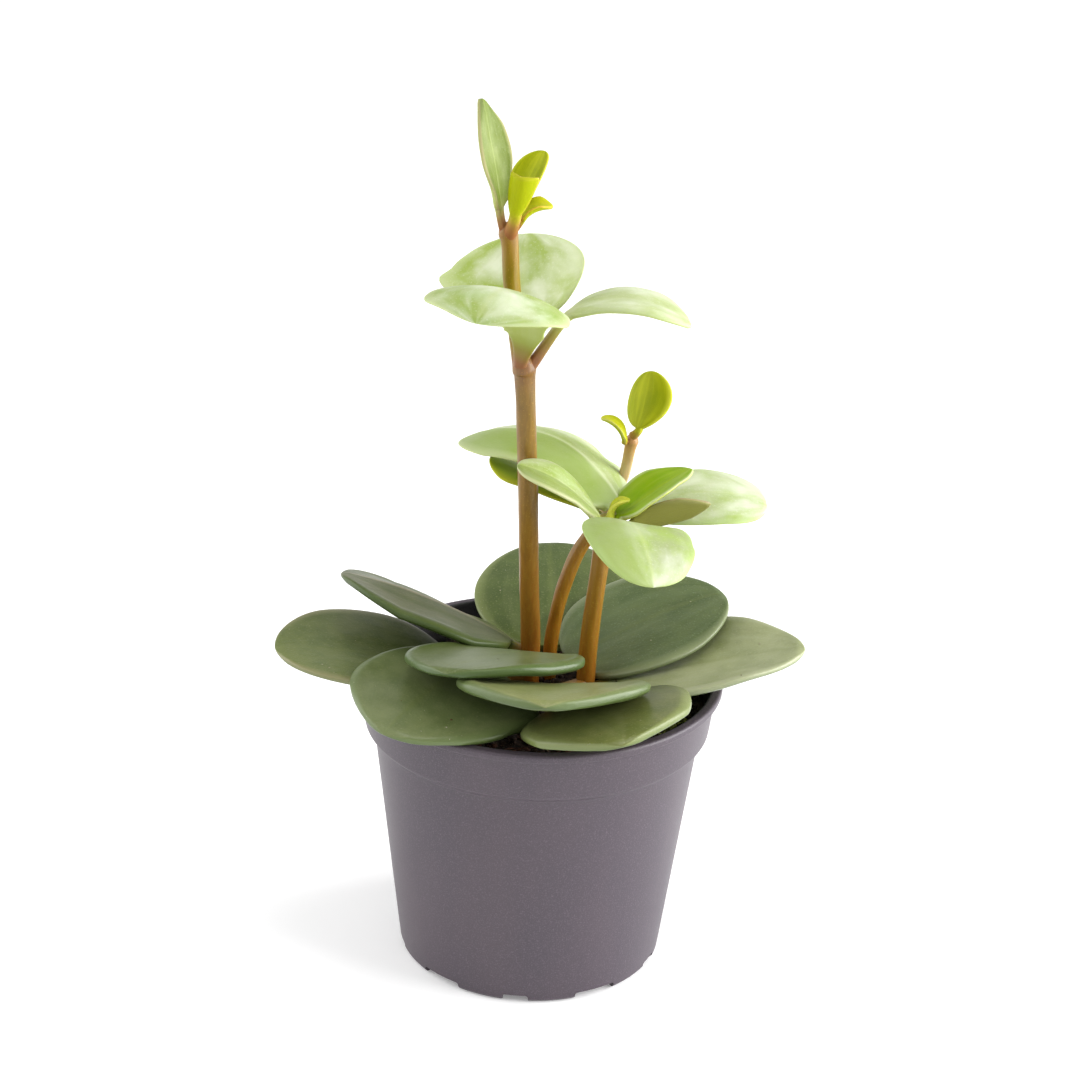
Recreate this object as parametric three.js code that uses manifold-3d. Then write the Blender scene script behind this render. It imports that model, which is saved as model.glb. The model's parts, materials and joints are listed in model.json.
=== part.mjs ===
// Potted peperomia: a small nursery pot with three upright stems and rosettes of thick, rounded leaves.
// Millimetres, +Z up. The origin lies on the pot's axis, on the plane the pot stands on; -Y is the front.
import * as THREE from "three";
import Module from "manifold-3d";

const wasm = await Module();
wasm.setup();

// Pot
const POT_SEGMENTS = 48;
const POT_HEIGHT = 49.4;
const LIP_RADIUS = 30;
const COLLAR_TOP_RADIUS = 29;
const COLLAR_FOOT_RADIUS = 28.3;
const COLLAR_FOOT_Z = 40.4;
const WALL_TOP_RADIUS = 26.8;
const WALL_FOOT_RADIUS = 21.7;
const WALL = 0.9;
const LIP_THICKNESS = 1.1;
const FOOT_HEIGHT = 0.8;
const FOOT_RING_INNER = 18.6;
const FLOOR_TOP = 2;
const PAD_RADIUS = 6;
const WIDE_NOTCH = 7.4;
const NARROW_NOTCH = 4.2;
const NOTCH_GROUPS = 5;
const DRAIN_RADIUS = 2;
const DRAIN_CIRCLE = 13;

// Soil
const SOIL_GAP = 0.35;
const SOIL_EDGE_Z = 43.6;
const SOIL_CENTRE_Z = 44.8;
const HOLE_DEPTH = 12;

// Stems and leaves
const GAP = 0.3;
const STEM_SIDES = 10;
const LEAF_SIDES = 12;
const PETIOLE_STEPS = 4;
const BLADE_STEPS = 9;
const MARGIN_FULLNESS = 0.7;

const rad = (degrees) => (degrees * Math.PI) / 180;

// One closed skin through a row of rings, with a point at each end.
function loft(rings, startPoint, endPoint) {
  const sides = rings[0].length;
  const positions = [];
  const faces = [];
  for (const ring of rings) {
    for (const p of ring) {
      positions.push(p.x, p.y, p.z);
    }
  }
  const start = positions.length / 3;
  positions.push(startPoint.x, startPoint.y, startPoint.z);
  positions.push(endPoint.x, endPoint.y, endPoint.z);
  for (let j = 0; j < sides; j++) {
    const k = (j + 1) % sides;
    faces.push(start, k, j);
    for (let i = 0; i < rings.length - 1; i++) {
      const a = i * sides + j;
      const b = i * sides + k;
      faces.push(a, b, a + sides);
      faces.push(b, b + sides, a + sides);
    }
    const last = (rings.length - 1) * sides;
    faces.push(last + j, last + k, start + 1);
  }
  const geometry = new THREE.BufferGeometry();
  geometry.setAttribute("position", new THREE.Float32BufferAttribute(positions, 3));
  geometry.setIndex(faces);
  geometry.computeVertexNormals();
  return geometry;
}

// A round body about the Z axis. The profile runs from the axis, outwards and up, and back to the axis.
function revolve(profile, sides) {
  const inner = profile.slice(1, -1);
  const rings = inner.map(([r, z]) => {
    const ring = [];
    for (let j = 0; j < sides; j++) {
      const angle = (2 * Math.PI * j) / sides;
      ring.push(new THREE.Vector3(r * Math.cos(angle), r * Math.sin(angle), z));
    }
    return ring;
  });
  const first = new THREE.Vector3(0, 0, profile[0][1]);
  const last = new THREE.Vector3(0, 0, profile[profile.length - 1][1]);
  return loft(rings, first, last);
}

function toSolid(geometry) {
  return new wasm.Manifold(new wasm.Mesh({
    numProp: 3,
    vertProperties: new Float32Array(geometry.attributes.position.array),
    triVerts: new Uint32Array(geometry.index.array),
  }));
}

function toGeometry(solid) {
  const mesh = solid.getMesh();
  const geometry = new THREE.BufferGeometry();
  const positions = [];
  for (let i = 0; i < mesh.numVert; i++) {
    for (let k = 0; k < 3; k++) {
      positions.push(mesh.vertProperties[i * mesh.numProp + k]);
    }
  }
  geometry.setAttribute("position", new THREE.Float32BufferAttribute(positions, 3));
  geometry.setIndex(Array.from(mesh.triVerts));
  geometry.computeVertexNormals();
  return geometry;
}

// An upright cylinder, as a cutter.
function cylinder(x, y, low, high, radius, sides) {
  const geometry = revolve([[0, low], [radius, low], [radius, high], [0, high]], sides);
  geometry.translate(x, y, 0);
  return toSolid(geometry);
}

// A cutter through the foot ring, centred on an angle counted from the front.
function notch(degrees, width) {
  const half = width / 2;
  const ring = (x) => [
    new THREE.Vector3(x, -half, -1),
    new THREE.Vector3(x, half, -1),
    new THREE.Vector3(x, half, FOOT_HEIGHT),
    new THREE.Vector3(x, -half, FOOT_HEIGHT),
  ];
  const middle = (FOOT_HEIGHT - 1) / 2;
  const nearEnd = new THREE.Vector3(FOOT_RING_INNER - 2, 0, middle);
  const farEnd = new THREE.Vector3(WALL_FOOT_RADIUS + 2, 0, middle);
  const geometry = loft([ring(nearEnd.x), ring(farEnd.x)], nearEnd, farEnd);
  geometry.rotateZ(rad(degrees - 90));
  return toSolid(geometry);
}

function makePot() {
  const innerTop = COLLAR_TOP_RADIUS - WALL;
  const profile = [
    [0, 0],
    [PAD_RADIUS, 0],
    [PAD_RADIUS + 0.5, FOOT_HEIGHT],
    [FOOT_RING_INNER, FOOT_HEIGHT],
    [FOOT_RING_INNER + 0.4, 0],
    [WALL_FOOT_RADIUS - 0.4, 0],
    [WALL_FOOT_RADIUS, 0.5],
    [WALL_TOP_RADIUS - 0.4, 38],
    [WALL_TOP_RADIUS, COLLAR_FOOT_Z],
    [COLLAR_FOOT_RADIUS - 0.3, COLLAR_FOOT_Z],
    [COLLAR_FOOT_RADIUS, COLLAR_FOOT_Z + 0.4],
    [COLLAR_TOP_RADIUS, POT_HEIGHT - LIP_THICKNESS - 0.6],
    [LIP_RADIUS - 0.2, POT_HEIGHT - LIP_THICKNESS],
    [LIP_RADIUS, POT_HEIGHT - LIP_THICKNESS + 0.3],
    [LIP_RADIUS, POT_HEIGHT - 0.3],
    [LIP_RADIUS - 0.3, POT_HEIGHT],
    [innerTop + 0.3, POT_HEIGHT],
    [innerTop, POT_HEIGHT - 0.4],
    [COLLAR_FOOT_RADIUS - WALL, COLLAR_FOOT_Z + 0.6],
    [WALL_TOP_RADIUS - WALL, COLLAR_FOOT_Z - 1],
    [WALL_FOOT_RADIUS - WALL, FLOOR_TOP],
    [0, FLOOR_TOP],
  ];
  let pot = toSolid(revolve(profile, POT_SEGMENTS));
  for (let i = 0; i < NOTCH_GROUPS; i++) {
    const turn = (360 / NOTCH_GROUPS) * i;
    pot = pot.subtract(notch(31 + turn, WIDE_NOTCH));
    pot = pot.subtract(notch(-5 + turn, NARROW_NOTCH));
    const angle = rad(31 + turn - 90);
    const x = DRAIN_CIRCLE * Math.cos(angle);
    const y = DRAIN_CIRCLE * Math.sin(angle);
    pot = pot.subtract(cylinder(x, y, -1, FLOOR_TOP + 1, DRAIN_RADIUS, 16));
  }
  return toGeometry(pot);
}

// Each stem is a row of points with radii. The first two lie straight above each other, in the soil's hole.
const STEM_FOOT_Z = SOIL_EDGE_Z - HOLE_DEPTH + 1;
const STEMS = {
  stem_tall: [
    [-1.5, 5, STEM_FOOT_Z, 1.6],
    [-1.5, 5, 46, 1.6],
    [-1.5, 4.8, 51, 1.6],
    [-2.1, 2.6, 64.3, 1.6],
    [-2.8, 0, 81, 1.6],
    [-3.8, -2, 99.5, 1.6],
    [-4, -2.3, 102.2, 1.9],
    [-4.9, -2.4, 105, 1.35],
    [-5.6, -2.7, 110, 1.3],
    [-6.4, -3, 116.5, 1.3],
    [-6.8, -3, 122.3, 1.35],
    [-7.1, -3, 124, 1.5],
    [-7.2, -3, 124.9, 1.1],
  ],
  stem_curved: [
    [1.7, 7.5, STEM_FOOT_Z, 1.15],
    [1.7, 7.5, 46, 1.15],
    [1.8, 7.6, 50.5, 1.15],
    [2.5, 8, 55.8, 1.15],
    [3.6, 8.6, 60.8, 1.2],
    [5.4, 9.3, 66, 1.2],
    [7.6, 9.8, 69.8, 1.1],
    [9.8, 10, 73.2, 1],
    [12.4, 9.8, 79.7, 0.9],
    [13.3, 9.4, 85, 0.95],
    [13.5, 9.3, 86.4, 1.15],
    [13.6, 9.2, 87.2, 0.7],
  ],
  stem_front: [
    [7.6, -1, STEM_FOOT_Z, 1.5],
    [7.6, -1, 46, 1.5],
    [7.7, -1, 51, 1.5],
    [8.2, -1, 59.5, 1.45],
    [9.1, -1, 69, 1.45],
    [9.5, -1, 73.5, 1.6],
    [9.6, -1, 76, 1.8],
    [9.6, -1, 77.2, 1.1],
  ],
};

// A stem runs as a smooth curve through its points.
function makeStem(points) {
  const curve = new THREE.CatmullRomCurve3(points.map(([x, y, z]) => new THREE.Vector3(x, y, z)));
  const rings = [];
  const last = points.length - 1;
  const steps = points.length + 3;
  for (let i = 0; i <= steps; i++) {
    const u = i / steps;
    const centre = curve.getPoint(u);
    const tangent = curve.getTangent(u);
    const side = new THREE.Vector3(1, 0, 0).addScaledVector(tangent, -tangent.x).normalize();
    const across = new THREE.Vector3().crossVectors(tangent, side);
    const k = Math.min(Math.floor(u * last), last - 1);
    const radius = THREE.MathUtils.lerp(points[k][3], points[k + 1][3], u * last - k);
    const ring = [];
    for (let j = 0; j < STEM_SIDES; j++) {
      const angle = (2 * Math.PI * j) / STEM_SIDES;
      const p = centre.clone().addScaledVector(side, radius * Math.cos(angle));
      ring.push(p.addScaledVector(across, radius * Math.sin(angle)));
    }
    rings.push(ring);
  }
  return loft(rings, curve.getPoint(0), curve.getPoint(1));
}

function makeSoil() {
  const inner = (z) => {
    const slope = (WALL_TOP_RADIUS - WALL_FOOT_RADIUS) / (COLLAR_FOOT_Z - 1 - FLOOR_TOP);
    return WALL_FOOT_RADIUS - WALL - SOIL_GAP + slope * (z - FLOOR_TOP);
  };
  const bottom = FLOOR_TOP + SOIL_GAP;
  const shoulder = COLLAR_FOOT_Z - 1;
  const collarInner = COLLAR_FOOT_RADIUS - WALL - SOIL_GAP;
  const rise = SOIL_CENTRE_Z - SOIL_EDGE_Z;
  const profile = [
    [0, bottom],
    [inner(bottom), bottom],
    [inner(shoulder) - 0.05, shoulder + 0.1],
    [collarInner - 0.1, COLLAR_FOOT_Z + 1],
    [collarInner + 0.1, SOIL_EDGE_Z - 0.6],
    [collarInner - 0.6, SOIL_EDGE_Z],
    [20, SOIL_EDGE_Z + rise * 0.45],
    [12, SOIL_EDGE_Z + rise * 0.8],
    [5, SOIL_EDGE_Z + rise * 0.97],
    [0, SOIL_CENTRE_Z],
  ];
  let soil = toSolid(revolve(profile, POT_SEGMENTS));
  for (const points of Object.values(STEMS)) {
    const [x, y, foot, radius] = points[0];
    soil = soil.subtract(cylinder(x, y, foot - GAP, SOIL_CENTRE_Z + 2, radius + GAP, 16));
  }
  return toGeometry(soil);
}

// Leaf outlines: how the half-width grows from the base and closes at the tip.
const ROUND = [0.48, 0.56];
const WEDGE = [0.62, 0.55];
const FUNNEL = [0.95, 0.55];

// Each leaf: the foot of its petiole, the base of its blade, the compass heading of the blade (0 is +X, 90 is +Y),
// the slope at its base and how far that slope bends down by the tip, the roll about its length, the blade's size,
// its hollow (negative arches it), its thickness and the petiole's radius. A flare is the half-width that the petiole
// widens to where it runs into the blade.
const LEAVES = {
  leaf_left: {
    foot: [-3.7, 4, 46.8], base: [-12.7, 3.3, 46.3], heading: 196, lift: 22, bend: 16, roll: -4,
    length: 32.1, width: 27.6, hollow: 0.09, thick: 1.7, petiole: 1, outline: ROUND,
  },
  leaf_front_left: {
    foot: [-3.1, 3.1, 48.6], base: [-10, -3.2, 51.7], heading: 242, lift: 9, bend: 20, roll: -9,
    length: 28.5, width: 26.5, hollow: -0.06, thick: 2, petiole: 1.1, outline: ROUND,
  },
  leaf_back_left: {
    foot: [-3.6, 5.2, 50.2], base: [-5.2, 5.9, 50.8], heading: 182, lift: 31, bend: 16, roll: 17,
    length: 30, width: 24, hollow: 0.1, thick: 1.7, petiole: 1, outline: ROUND,
  },
  leaf_mid_left: {
    foot: [-1.8, 2.3, 50.9], base: [-2, -3, 53.4], heading: 243, lift: 22, bend: 11, roll: 8,
    length: 28, width: 27, hollow: 0.03, thick: 2, petiole: 1.1, outline: ROUND,
  },
  leaf_front: {
    foot: [5.8, -2, 47.6], base: [2, -11.2, 51.2], heading: 268, lift: 32, bend: 21, roll: 1,
    length: 28.5, width: 28.5, hollow: 0.06, thick: 2.2, petiole: 1.2, outline: ROUND,
  },
  leaf_front_right: {
    foot: [7.8, -3.1, 46.3], base: [8.3, -10.3, 49.1], heading: 280, lift: 26, bend: 26, roll: 12,
    length: 28, width: 27, hollow: -0.06, thick: 2, petiole: 1.1, outline: ROUND,
  },
  leaf_back: {
    foot: [1.8, 9, 47.4], base: [2, 12, 47.6], heading: 92, lift: 24, bend: 18, roll: -3,
    length: 28.5, width: 26, hollow: 0, thick: 1.6, petiole: 1, outline: ROUND,
  },
  leaf_back_right: {
    foot: [4, 6.6, 46.8], base: [5, 5.6, 48.1], heading: 22, lift: 29, bend: 22, roll: 4,
    length: 29, width: 26.5, hollow: 0.02, thick: 1.7, petiole: 1.1, outline: ROUND,
  },
  leaf_right: {
    foot: [9.9, -1, 46.6], base: [13, -0.1, 48], heading: 355, lift: 17, bend: 3, roll: -1,
    length: 31, width: 27, hollow: 0.14, thick: 1.7, petiole: 1.1, outline: ROUND,
  },
  tall_whorl_front: {
    foot: [-4.8, -5, 103.9], base: [-4.1, -6, 109.3], heading: 248, lift: 78, bend: 114, roll: -3,
    length: 23.5, width: 22.6, hollow: -0.21, thick: 1.2, petiole: 0.85, flare: 3.4, outline: FUNNEL,
  },
  tall_whorl_back: {
    foot: [-4.4, 0.8, 103.2], base: [-5.4, 1.3, 106.8], heading: 85, lift: 30, bend: -24, roll: -18,
    length: 18, width: 22.8, hollow: 0.29, thick: 1.1, petiole: 1, outline: WEDGE,
  },
  tall_whorl_right: {
    foot: [-1.8, -2.4, 103.5], base: [3, -0.9, 110.9], heading: 2, lift: 31, bend: 71, roll: -3,
    length: 19.8, width: 15.5, hollow: 0, thick: 1.2, petiole: 0.7, flare: 2, outline: WEDGE,
  },
  tall_tip_blade: {
    foot: [-8.4, -3.3, 125.6], base: [-8.8, -3.5, 127.3], heading: 154, lift: 78, bend: 1, roll: 5,
    length: 17.6, width: 7.5, hollow: 0.52, thick: 0.9, petiole: 0.6, outline: WEDGE,
  },
  tall_tip_roll: {
    foot: [-6.5, -4, 125.7], base: [-6.3, -6.9, 127.9], heading: 290, lift: 82, bend: 10, roll: 0,
    length: 8.5, width: 5, hollow: 0.9, thick: 1, petiole: 0.7, outline: WEDGE,
  },
  tall_tip_back: {
    foot: [-6.3, -2.2, 125.4], base: [-5.8, -0.9, 127.6], heading: 46, lift: 61, bend: 11, roll: 0,
    length: 9.5, width: 6, hollow: 0.4, thick: 0.9, petiole: 0.6, outline: WEDGE,
  },
  tall_tip_small: {
    foot: [-5.3, -3.1, 126], base: [-5.1, -3.6, 126.6], heading: 2, lift: 61, bend: 70, roll: 3,
    length: 5.5, width: 3.5, hollow: 0.28, thick: 0.8, petiole: 0.5, outline: WEDGE,
  },
  front_whorl_arch: {
    foot: [10.7, 1, 76.6], base: [12.5, 3.7, 78.4], heading: 147, lift: 49, bend: 85, roll: 8,
    length: 33, width: 22, hollow: -0.08, thick: 1.2, petiole: 0.9, outline: FUNNEL,
  },
  front_whorl_dark: {
    foot: [7.8, 1, 75.6], base: [7.4, 6, 75.7], heading: 156, lift: 25, bend: 14, roll: 20,
    length: 18.5, width: 15.5, hollow: -0.15, thick: 1, petiole: 0.8, outline: WEDGE,
  },
  front_whorl_narrow: {
    foot: [8.4, -2.7, 77], base: [7.7, -5.9, 79.6], heading: 178, lift: 57, bend: 50, roll: -8,
    length: 15, width: 8.2, hollow: -0.1, thick: 1, petiole: 0.8, outline: FUNNEL,
  },
  front_whorl_droop: {
    foot: [11, -3.6, 75.8], base: [12, -9.3, 79.3], heading: 284, lift: 35, bend: 81, roll: -15,
    length: 21, width: 18.5, hollow: -0.14, thick: 1.2, petiole: 0.9, outline: WEDGE,
  },
  front_whorl_right: {
    foot: [12.7, 0, 75.3], base: [13.2, 5.6, 75.3], heading: 6, lift: 28, bend: 48, roll: 11,
    length: 23.5, width: 15.5, hollow: -0.1, thick: 1.2, petiole: 0.9, outline: WEDGE,
  },
  front_whorl_bright: {
    foot: [12.1, -1.6, 76.2], base: [11.9, -3.2, 78.3], heading: 30, lift: 30, bend: 9, roll: -14,
    length: 14.2, width: 11.5, hollow: 0.1, thick: 0.9, petiole: 0.7, outline: WEDGE,
  },
  front_whorl_olive: {
    foot: [12.9, -3.1, 75.6], base: [13.4, -3.4, 76.7], heading: 352, lift: 22, bend: 6, roll: -50,
    length: 14, width: 7.4, hollow: 0, thick: 1, petiole: 0.7, outline: WEDGE,
  },
  front_whorl_bud: {
    foot: [9.9, -2, 77.8], base: [10.4, -2.8, 79.4], heading: 330, lift: 60, bend: 10, roll: 0,
    length: 3.4, width: 1.8, hollow: 0, thick: 0.8, petiole: 0.5, outline: WEDGE,
  },
  curved_tip_round: {
    foot: [14.1, 8.9, 87.8], base: [14.6, 8.6, 88.8], heading: 70, lift: 56, bend: -4, roll: -27,
    length: 9.5, width: 8.8, hollow: -0.2, thick: 1, petiole: 0.6, outline: WEDGE,
  },
  curved_tip_sickle: {
    foot: [11.3, 8.9, 86.6], base: [12.3, 7.7, 87.2], heading: 169, lift: 80, bend: 82, roll: 0,
    length: 5.6, width: 3, hollow: 0.3, thick: 0.8, petiole: 0.5, outline: WEDGE,
  },
};

// The place and direction of a blade's spine at s, counted from 0 at its base to 1 at its tip.
function spineAt(leaf, s) {
  const start = rad(leaf.lift);
  const drop = rad(leaf.bend) || 1e-6;
  const slope = start - drop * s;
  const out = (leaf.length * (Math.sin(start) - Math.sin(slope))) / drop;
  const rise = (leaf.length * (Math.cos(slope) - Math.cos(start))) / drop;
  const ahead = new THREE.Vector3(Math.cos(rad(leaf.heading)), Math.sin(rad(leaf.heading)), 0);
  const place = new THREE.Vector3(...leaf.base).addScaledVector(ahead, out);
  place.z += rise;
  const tangent = ahead.multiplyScalar(Math.cos(slope));
  tangent.z = Math.sin(slope);
  return { place, tangent };
}

function halfWidthAt(leaf, s) {
  const [grow, close] = leaf.outline;
  const peak = grow / (grow + close);
  const scale = Math.pow(peak, grow) * Math.pow(1 - peak, close);
  return ((leaf.width / 2) * Math.pow(s, grow) * Math.pow(1 - s, close)) / scale;
}

// A ring round the leaf: a flattened oval with full, rounded margins.
function leafRing(leaf, place, tangent, halfWidth, halfThick) {
  const level = new THREE.Vector3(-Math.sin(rad(leaf.heading)), Math.cos(rad(leaf.heading)), 0);
  const flat = level.addScaledVector(tangent, -level.dot(tangent)).normalize();
  const upright = new THREE.Vector3().crossVectors(tangent, flat);
  const roll = rad(leaf.roll);
  const side = flat.clone().multiplyScalar(Math.cos(roll)).addScaledVector(upright, Math.sin(roll));
  const face = upright.clone().multiplyScalar(Math.cos(roll)).addScaledVector(flat, -Math.sin(roll));
  const ring = [];
  for (let j = 0; j < LEAF_SIDES; j++) {
    const angle = (2 * Math.PI * j) / LEAF_SIDES;
    const c = Math.cos(angle);
    const h = Math.sin(angle);
    const y = halfWidth * Math.sign(c) * Math.pow(Math.abs(c), MARGIN_FULLNESS);
    const z = halfThick * Math.sign(h) * Math.pow(Math.abs(h), MARGIN_FULLNESS);
    const dish = (leaf.hollow * y * y) / (leaf.width / 2);
    ring.push(place.clone().addScaledVector(side, y).addScaledVector(face, z + dish));
  }
  return ring;
}

function makeLeaf(leaf) {
  const foot = new THREE.Vector3(...leaf.foot);
  const base = spineAt(leaf, 0);
  const reach = (leaf.flare ? 0.25 : 0.4) * foot.distanceTo(base.place);
  const control = base.place.clone().addScaledVector(base.tangent, -reach);
  const petiole = new THREE.QuadraticBezierCurve3(foot, control, base.place);
  const flare = leaf.flare ?? leaf.petiole;
  const rootThick = leaf.flare ? leaf.thick / 2 : leaf.petiole * 0.9;
  const rings = [];
  for (let i = 0; i < PETIOLE_STEPS; i++) {
    const u = i / PETIOLE_STEPS;
    const halfWidth = THREE.MathUtils.lerp(leaf.petiole, flare, u * u);
    const halfThick = THREE.MathUtils.lerp(leaf.petiole * 0.9, rootThick, u * u);
    rings.push(leafRing(leaf, petiole.getPoint(u), petiole.getTangent(u), halfWidth, halfThick));
  }
  for (let i = 0; i < BLADE_STEPS; i++) {
    const s = (1 - Math.cos((Math.PI * (i + 0.25)) / (BLADE_STEPS + 0.25))) / 2;
    const { place, tangent } = spineAt(leaf, s);
    const halfWidth = Math.hypot(halfWidthAt(leaf, s), flare * (1 - s));
    const stalk = Math.max(0, 1 - s / 0.25);
    const halfThick = THREE.MathUtils.lerp(leaf.thick / 2, rootThick, stalk * stalk);
    rings.push(leafRing(leaf, place, tangent, halfWidth, halfThick * (1 - 0.3 * Math.pow(s, 4))));
  }
  return loft(rings, foot, spineAt(leaf, 1).place);
}

const group = new THREE.Group();
group.name = "potted_peperomia";

function add(name, geometry, colour, roughness) {
  const material = new THREE.MeshStandardMaterial({ color: colour, roughness, metalness: 0 });
  const mesh = new THREE.Mesh(geometry, material);
  mesh.name = name;
  group.add(mesh);
}

add("pot", makePot(), 0x6f686e, 0.6);
add("soil", makeSoil(), 0x1f1812, 0.95);
for (const [name, points] of Object.entries(STEMS)) {
  add(name, makeStem(points), 0x94702f, 0.5);
}
for (const [name, leaf] of Object.entries(LEAVES)) {
  const young = leaf.outline !== ROUND;
  add(name, makeLeaf(leaf), young ? 0xb9cf86 : 0x67804f, 0.45);
}

export default group;
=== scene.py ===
# %% [markdown]
# This scene finishes a small potted peperomia: round olive leaves lying over the rim of a nursery pot, and
# three fleshy stems that carry whorls of pale young leaves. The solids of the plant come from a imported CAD
# model. They give every leaf its place and size, and the scene grows a finer surface on each of them, so the
# first step loads them and keeps the size of their box for the last cell.

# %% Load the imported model
import functools
import json
import math
import random

import bmesh
import bpy
from mathutils import Matrix, Vector, noise


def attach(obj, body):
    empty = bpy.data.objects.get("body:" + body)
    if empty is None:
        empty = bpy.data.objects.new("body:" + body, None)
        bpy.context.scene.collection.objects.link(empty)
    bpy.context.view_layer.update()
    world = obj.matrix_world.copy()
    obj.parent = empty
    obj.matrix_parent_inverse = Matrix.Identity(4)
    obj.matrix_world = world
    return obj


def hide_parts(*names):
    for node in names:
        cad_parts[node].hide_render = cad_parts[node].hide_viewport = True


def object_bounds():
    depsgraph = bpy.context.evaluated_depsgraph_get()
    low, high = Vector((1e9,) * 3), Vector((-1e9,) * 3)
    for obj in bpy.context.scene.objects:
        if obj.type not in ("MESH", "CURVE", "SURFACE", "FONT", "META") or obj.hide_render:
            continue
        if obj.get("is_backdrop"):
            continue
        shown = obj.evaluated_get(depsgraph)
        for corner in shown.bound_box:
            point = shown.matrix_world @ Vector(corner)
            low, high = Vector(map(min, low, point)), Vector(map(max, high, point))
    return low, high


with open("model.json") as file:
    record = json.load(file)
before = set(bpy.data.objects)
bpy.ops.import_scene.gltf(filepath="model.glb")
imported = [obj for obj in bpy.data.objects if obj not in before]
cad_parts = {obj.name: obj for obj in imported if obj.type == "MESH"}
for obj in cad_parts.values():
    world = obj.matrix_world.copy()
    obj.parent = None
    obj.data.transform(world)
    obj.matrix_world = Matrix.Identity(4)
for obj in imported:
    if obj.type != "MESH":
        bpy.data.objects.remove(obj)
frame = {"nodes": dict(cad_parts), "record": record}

MM = 0.001
UP = Vector((0, 0, 1))
cad_low, cad_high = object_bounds()
scene = bpy.context.scene
print("loaded", len(frame["nodes"]), "solids, height", round((cad_high.z - cad_low.z) / MM, 1), "mm")

# %% [markdown]
# Colours are written the way a paint program shows them, as sRGB hex, and Blender's nodes want linear light,
# so one function converts them. A second function adds a node with its settings and incoming links in one
# line, which keeps a node graph readable as text, and a third lays one tint over a colour where a pattern is
# strong, because every finish here is a base colour under a few such tints.

# %% Colour and node helpers
def linear(hex_colour):
    """An sRGB hex colour as the linear colour that a node socket holds."""
    channels = [int(hex_colour[i:i + 2], 16) / 255 for i in (0, 2, 4)]
    return [c / 12.92 if c <= 0.04045 else ((c + 0.055) / 1.055) ** 2.4 for c in channels] + [1.0]


def add_node(tree, kind, settings=None, output=0):
    """Adds a shader node and returns one of its outputs.

    Lower-case settings are the node's own. Capitals and numbers are input sockets, which take a value or
    another socket.
    """
    node = tree.nodes.new("ShaderNode" + kind)
    inputs = {}
    for key, value in (settings or {}).items():
        if isinstance(key, int) or key[0].isupper():
            inputs[key] = value
        elif key == "stops":
            elements = node.color_ramp.elements
            while len(elements) < len(value):
                elements.new(1.0)
            for element, (position, colour) in zip(elements, value):
                element.position, element.color = position, colour
        else:
            setattr(node, key, value)
    for key, value in inputs.items():
        if isinstance(value, bpy.types.NodeSocket):
            tree.links.new(value, node.inputs[key])
        else:
            node.inputs[key].default_value = value
    return node.outputs[output]


def tint_where(tree, colour, pattern, low, high, tint, amount=1.0):
    """Lays a tint over a colour where a pattern rises from low to high."""
    mask = add_node(tree, "MapRange", {"Value": pattern, "From Min": low, "From Max": high, "To Max": amount})
    tint = linear(tint) if isinstance(tint, str) else tint
    return add_node(tree, "Mix", {"data_type": "RGBA", 0: mask, 6: colour, 7: tint}, 2)


def new_material(name, settings):
    """A material of one Principled shader whose uniform values are set on its own sockets."""
    material = bpy.data.materials.new(name)
    material.use_nodes = True
    tree = material.node_tree
    shader = tree.nodes["Principled BSDF"]
    for key, value in settings.items():
        shader.inputs[key].default_value = value
    return material, tree, shader


print("helpers ready; mid grey BCBCBC is", [round(c, 3) for c in linear("BCBCBC")[:3]])

# %% [markdown]
# Every piece is finished in the same way. The bmesh becomes a mesh object that sits at the origin, so its
# place is in its vertices. Then the piece is told which body it moves with, which finish it takes and which
# solids it stands for.

# %% Finish a piece
def as_object(bm, name):
    """Puts a bmesh into the scene as an object at the origin and frees the bmesh."""
    mesh = bpy.data.meshes.new(name)
    bm.to_mesh(mesh)
    bm.free()
    thing = bpy.data.objects.new(name, mesh)
    scene.collection.objects.link(thing)
    return thing


def finish_piece(bm, name, materials, slot, *nodes, sharp=None):
    """Turns a bmesh in millimetres into a finished object of the plant."""
    bmesh.ops.scale(bm, vec=(MM, MM, MM), verts=bm.verts)
    piece = as_object(bm, name)
    for material in materials:
        piece.data.materials.append(material)
    piece.data.shade_smooth()
    if sharp:
        piece.data.set_sharp_from_angle(angle=math.radians(sharp))
    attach(piece, "root")
    if nodes:
        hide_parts(*nodes)
    print(name, len(piece.data.polygons), "faces")


print("pieces are modelled in millimetres and scaled by", MM)

# %% [markdown]
# The camera looks down on the pot from the front at about 23 degrees, with a long lens, as a product
# photographer stands well back to keep the pot's sides nearly parallel. It is built from the three directions
# of its own axes, because that gives its small roll exactly.

# %% Camera
TILT = math.radians(23.38)
ROLL = math.radians(2.14)
LENS = 94.15  # focal length in mm
CAMERA_PLACE = Vector((-0.0006, -0.41305, 0.25107))
ahead = Vector((0, math.cos(TILT), -math.sin(TILT)))
across_view = Vector((1, 0, 0))
up_view = Vector((0, math.sin(TILT), math.cos(TILT)))
right_axis = across_view * math.cos(ROLL) + up_view * math.sin(ROLL)
up_axis = up_view * math.cos(ROLL) - across_view * math.sin(ROLL)
turn = Matrix((right_axis, up_axis, -ahead)).transposed().to_4x4()
camera = bpy.data.objects.new("camera", bpy.data.cameras.new("camera"))
camera.data.lens = LENS
camera.data.clip_start = 0.01
camera.matrix_world = Matrix.Translation(CAMERA_PLACE) @ turn
scene.collection.objects.link(camera)
scene.camera = camera
print("camera", round(CAMERA_PLACE.length / MM), "mm from the pot's foot")

# %% [markdown]
# The pot is thin injection-moulded polypropylene: a tapered cup with a deeper collar, a small rolled lip and
# a foot ring. A lathe shape is a profile spun round an axis, so a few vertices are joined by edges and spun.
# The corners of a moulded part are never sharp, so each corner of the profile is first turned into a short
# arc.

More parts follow.
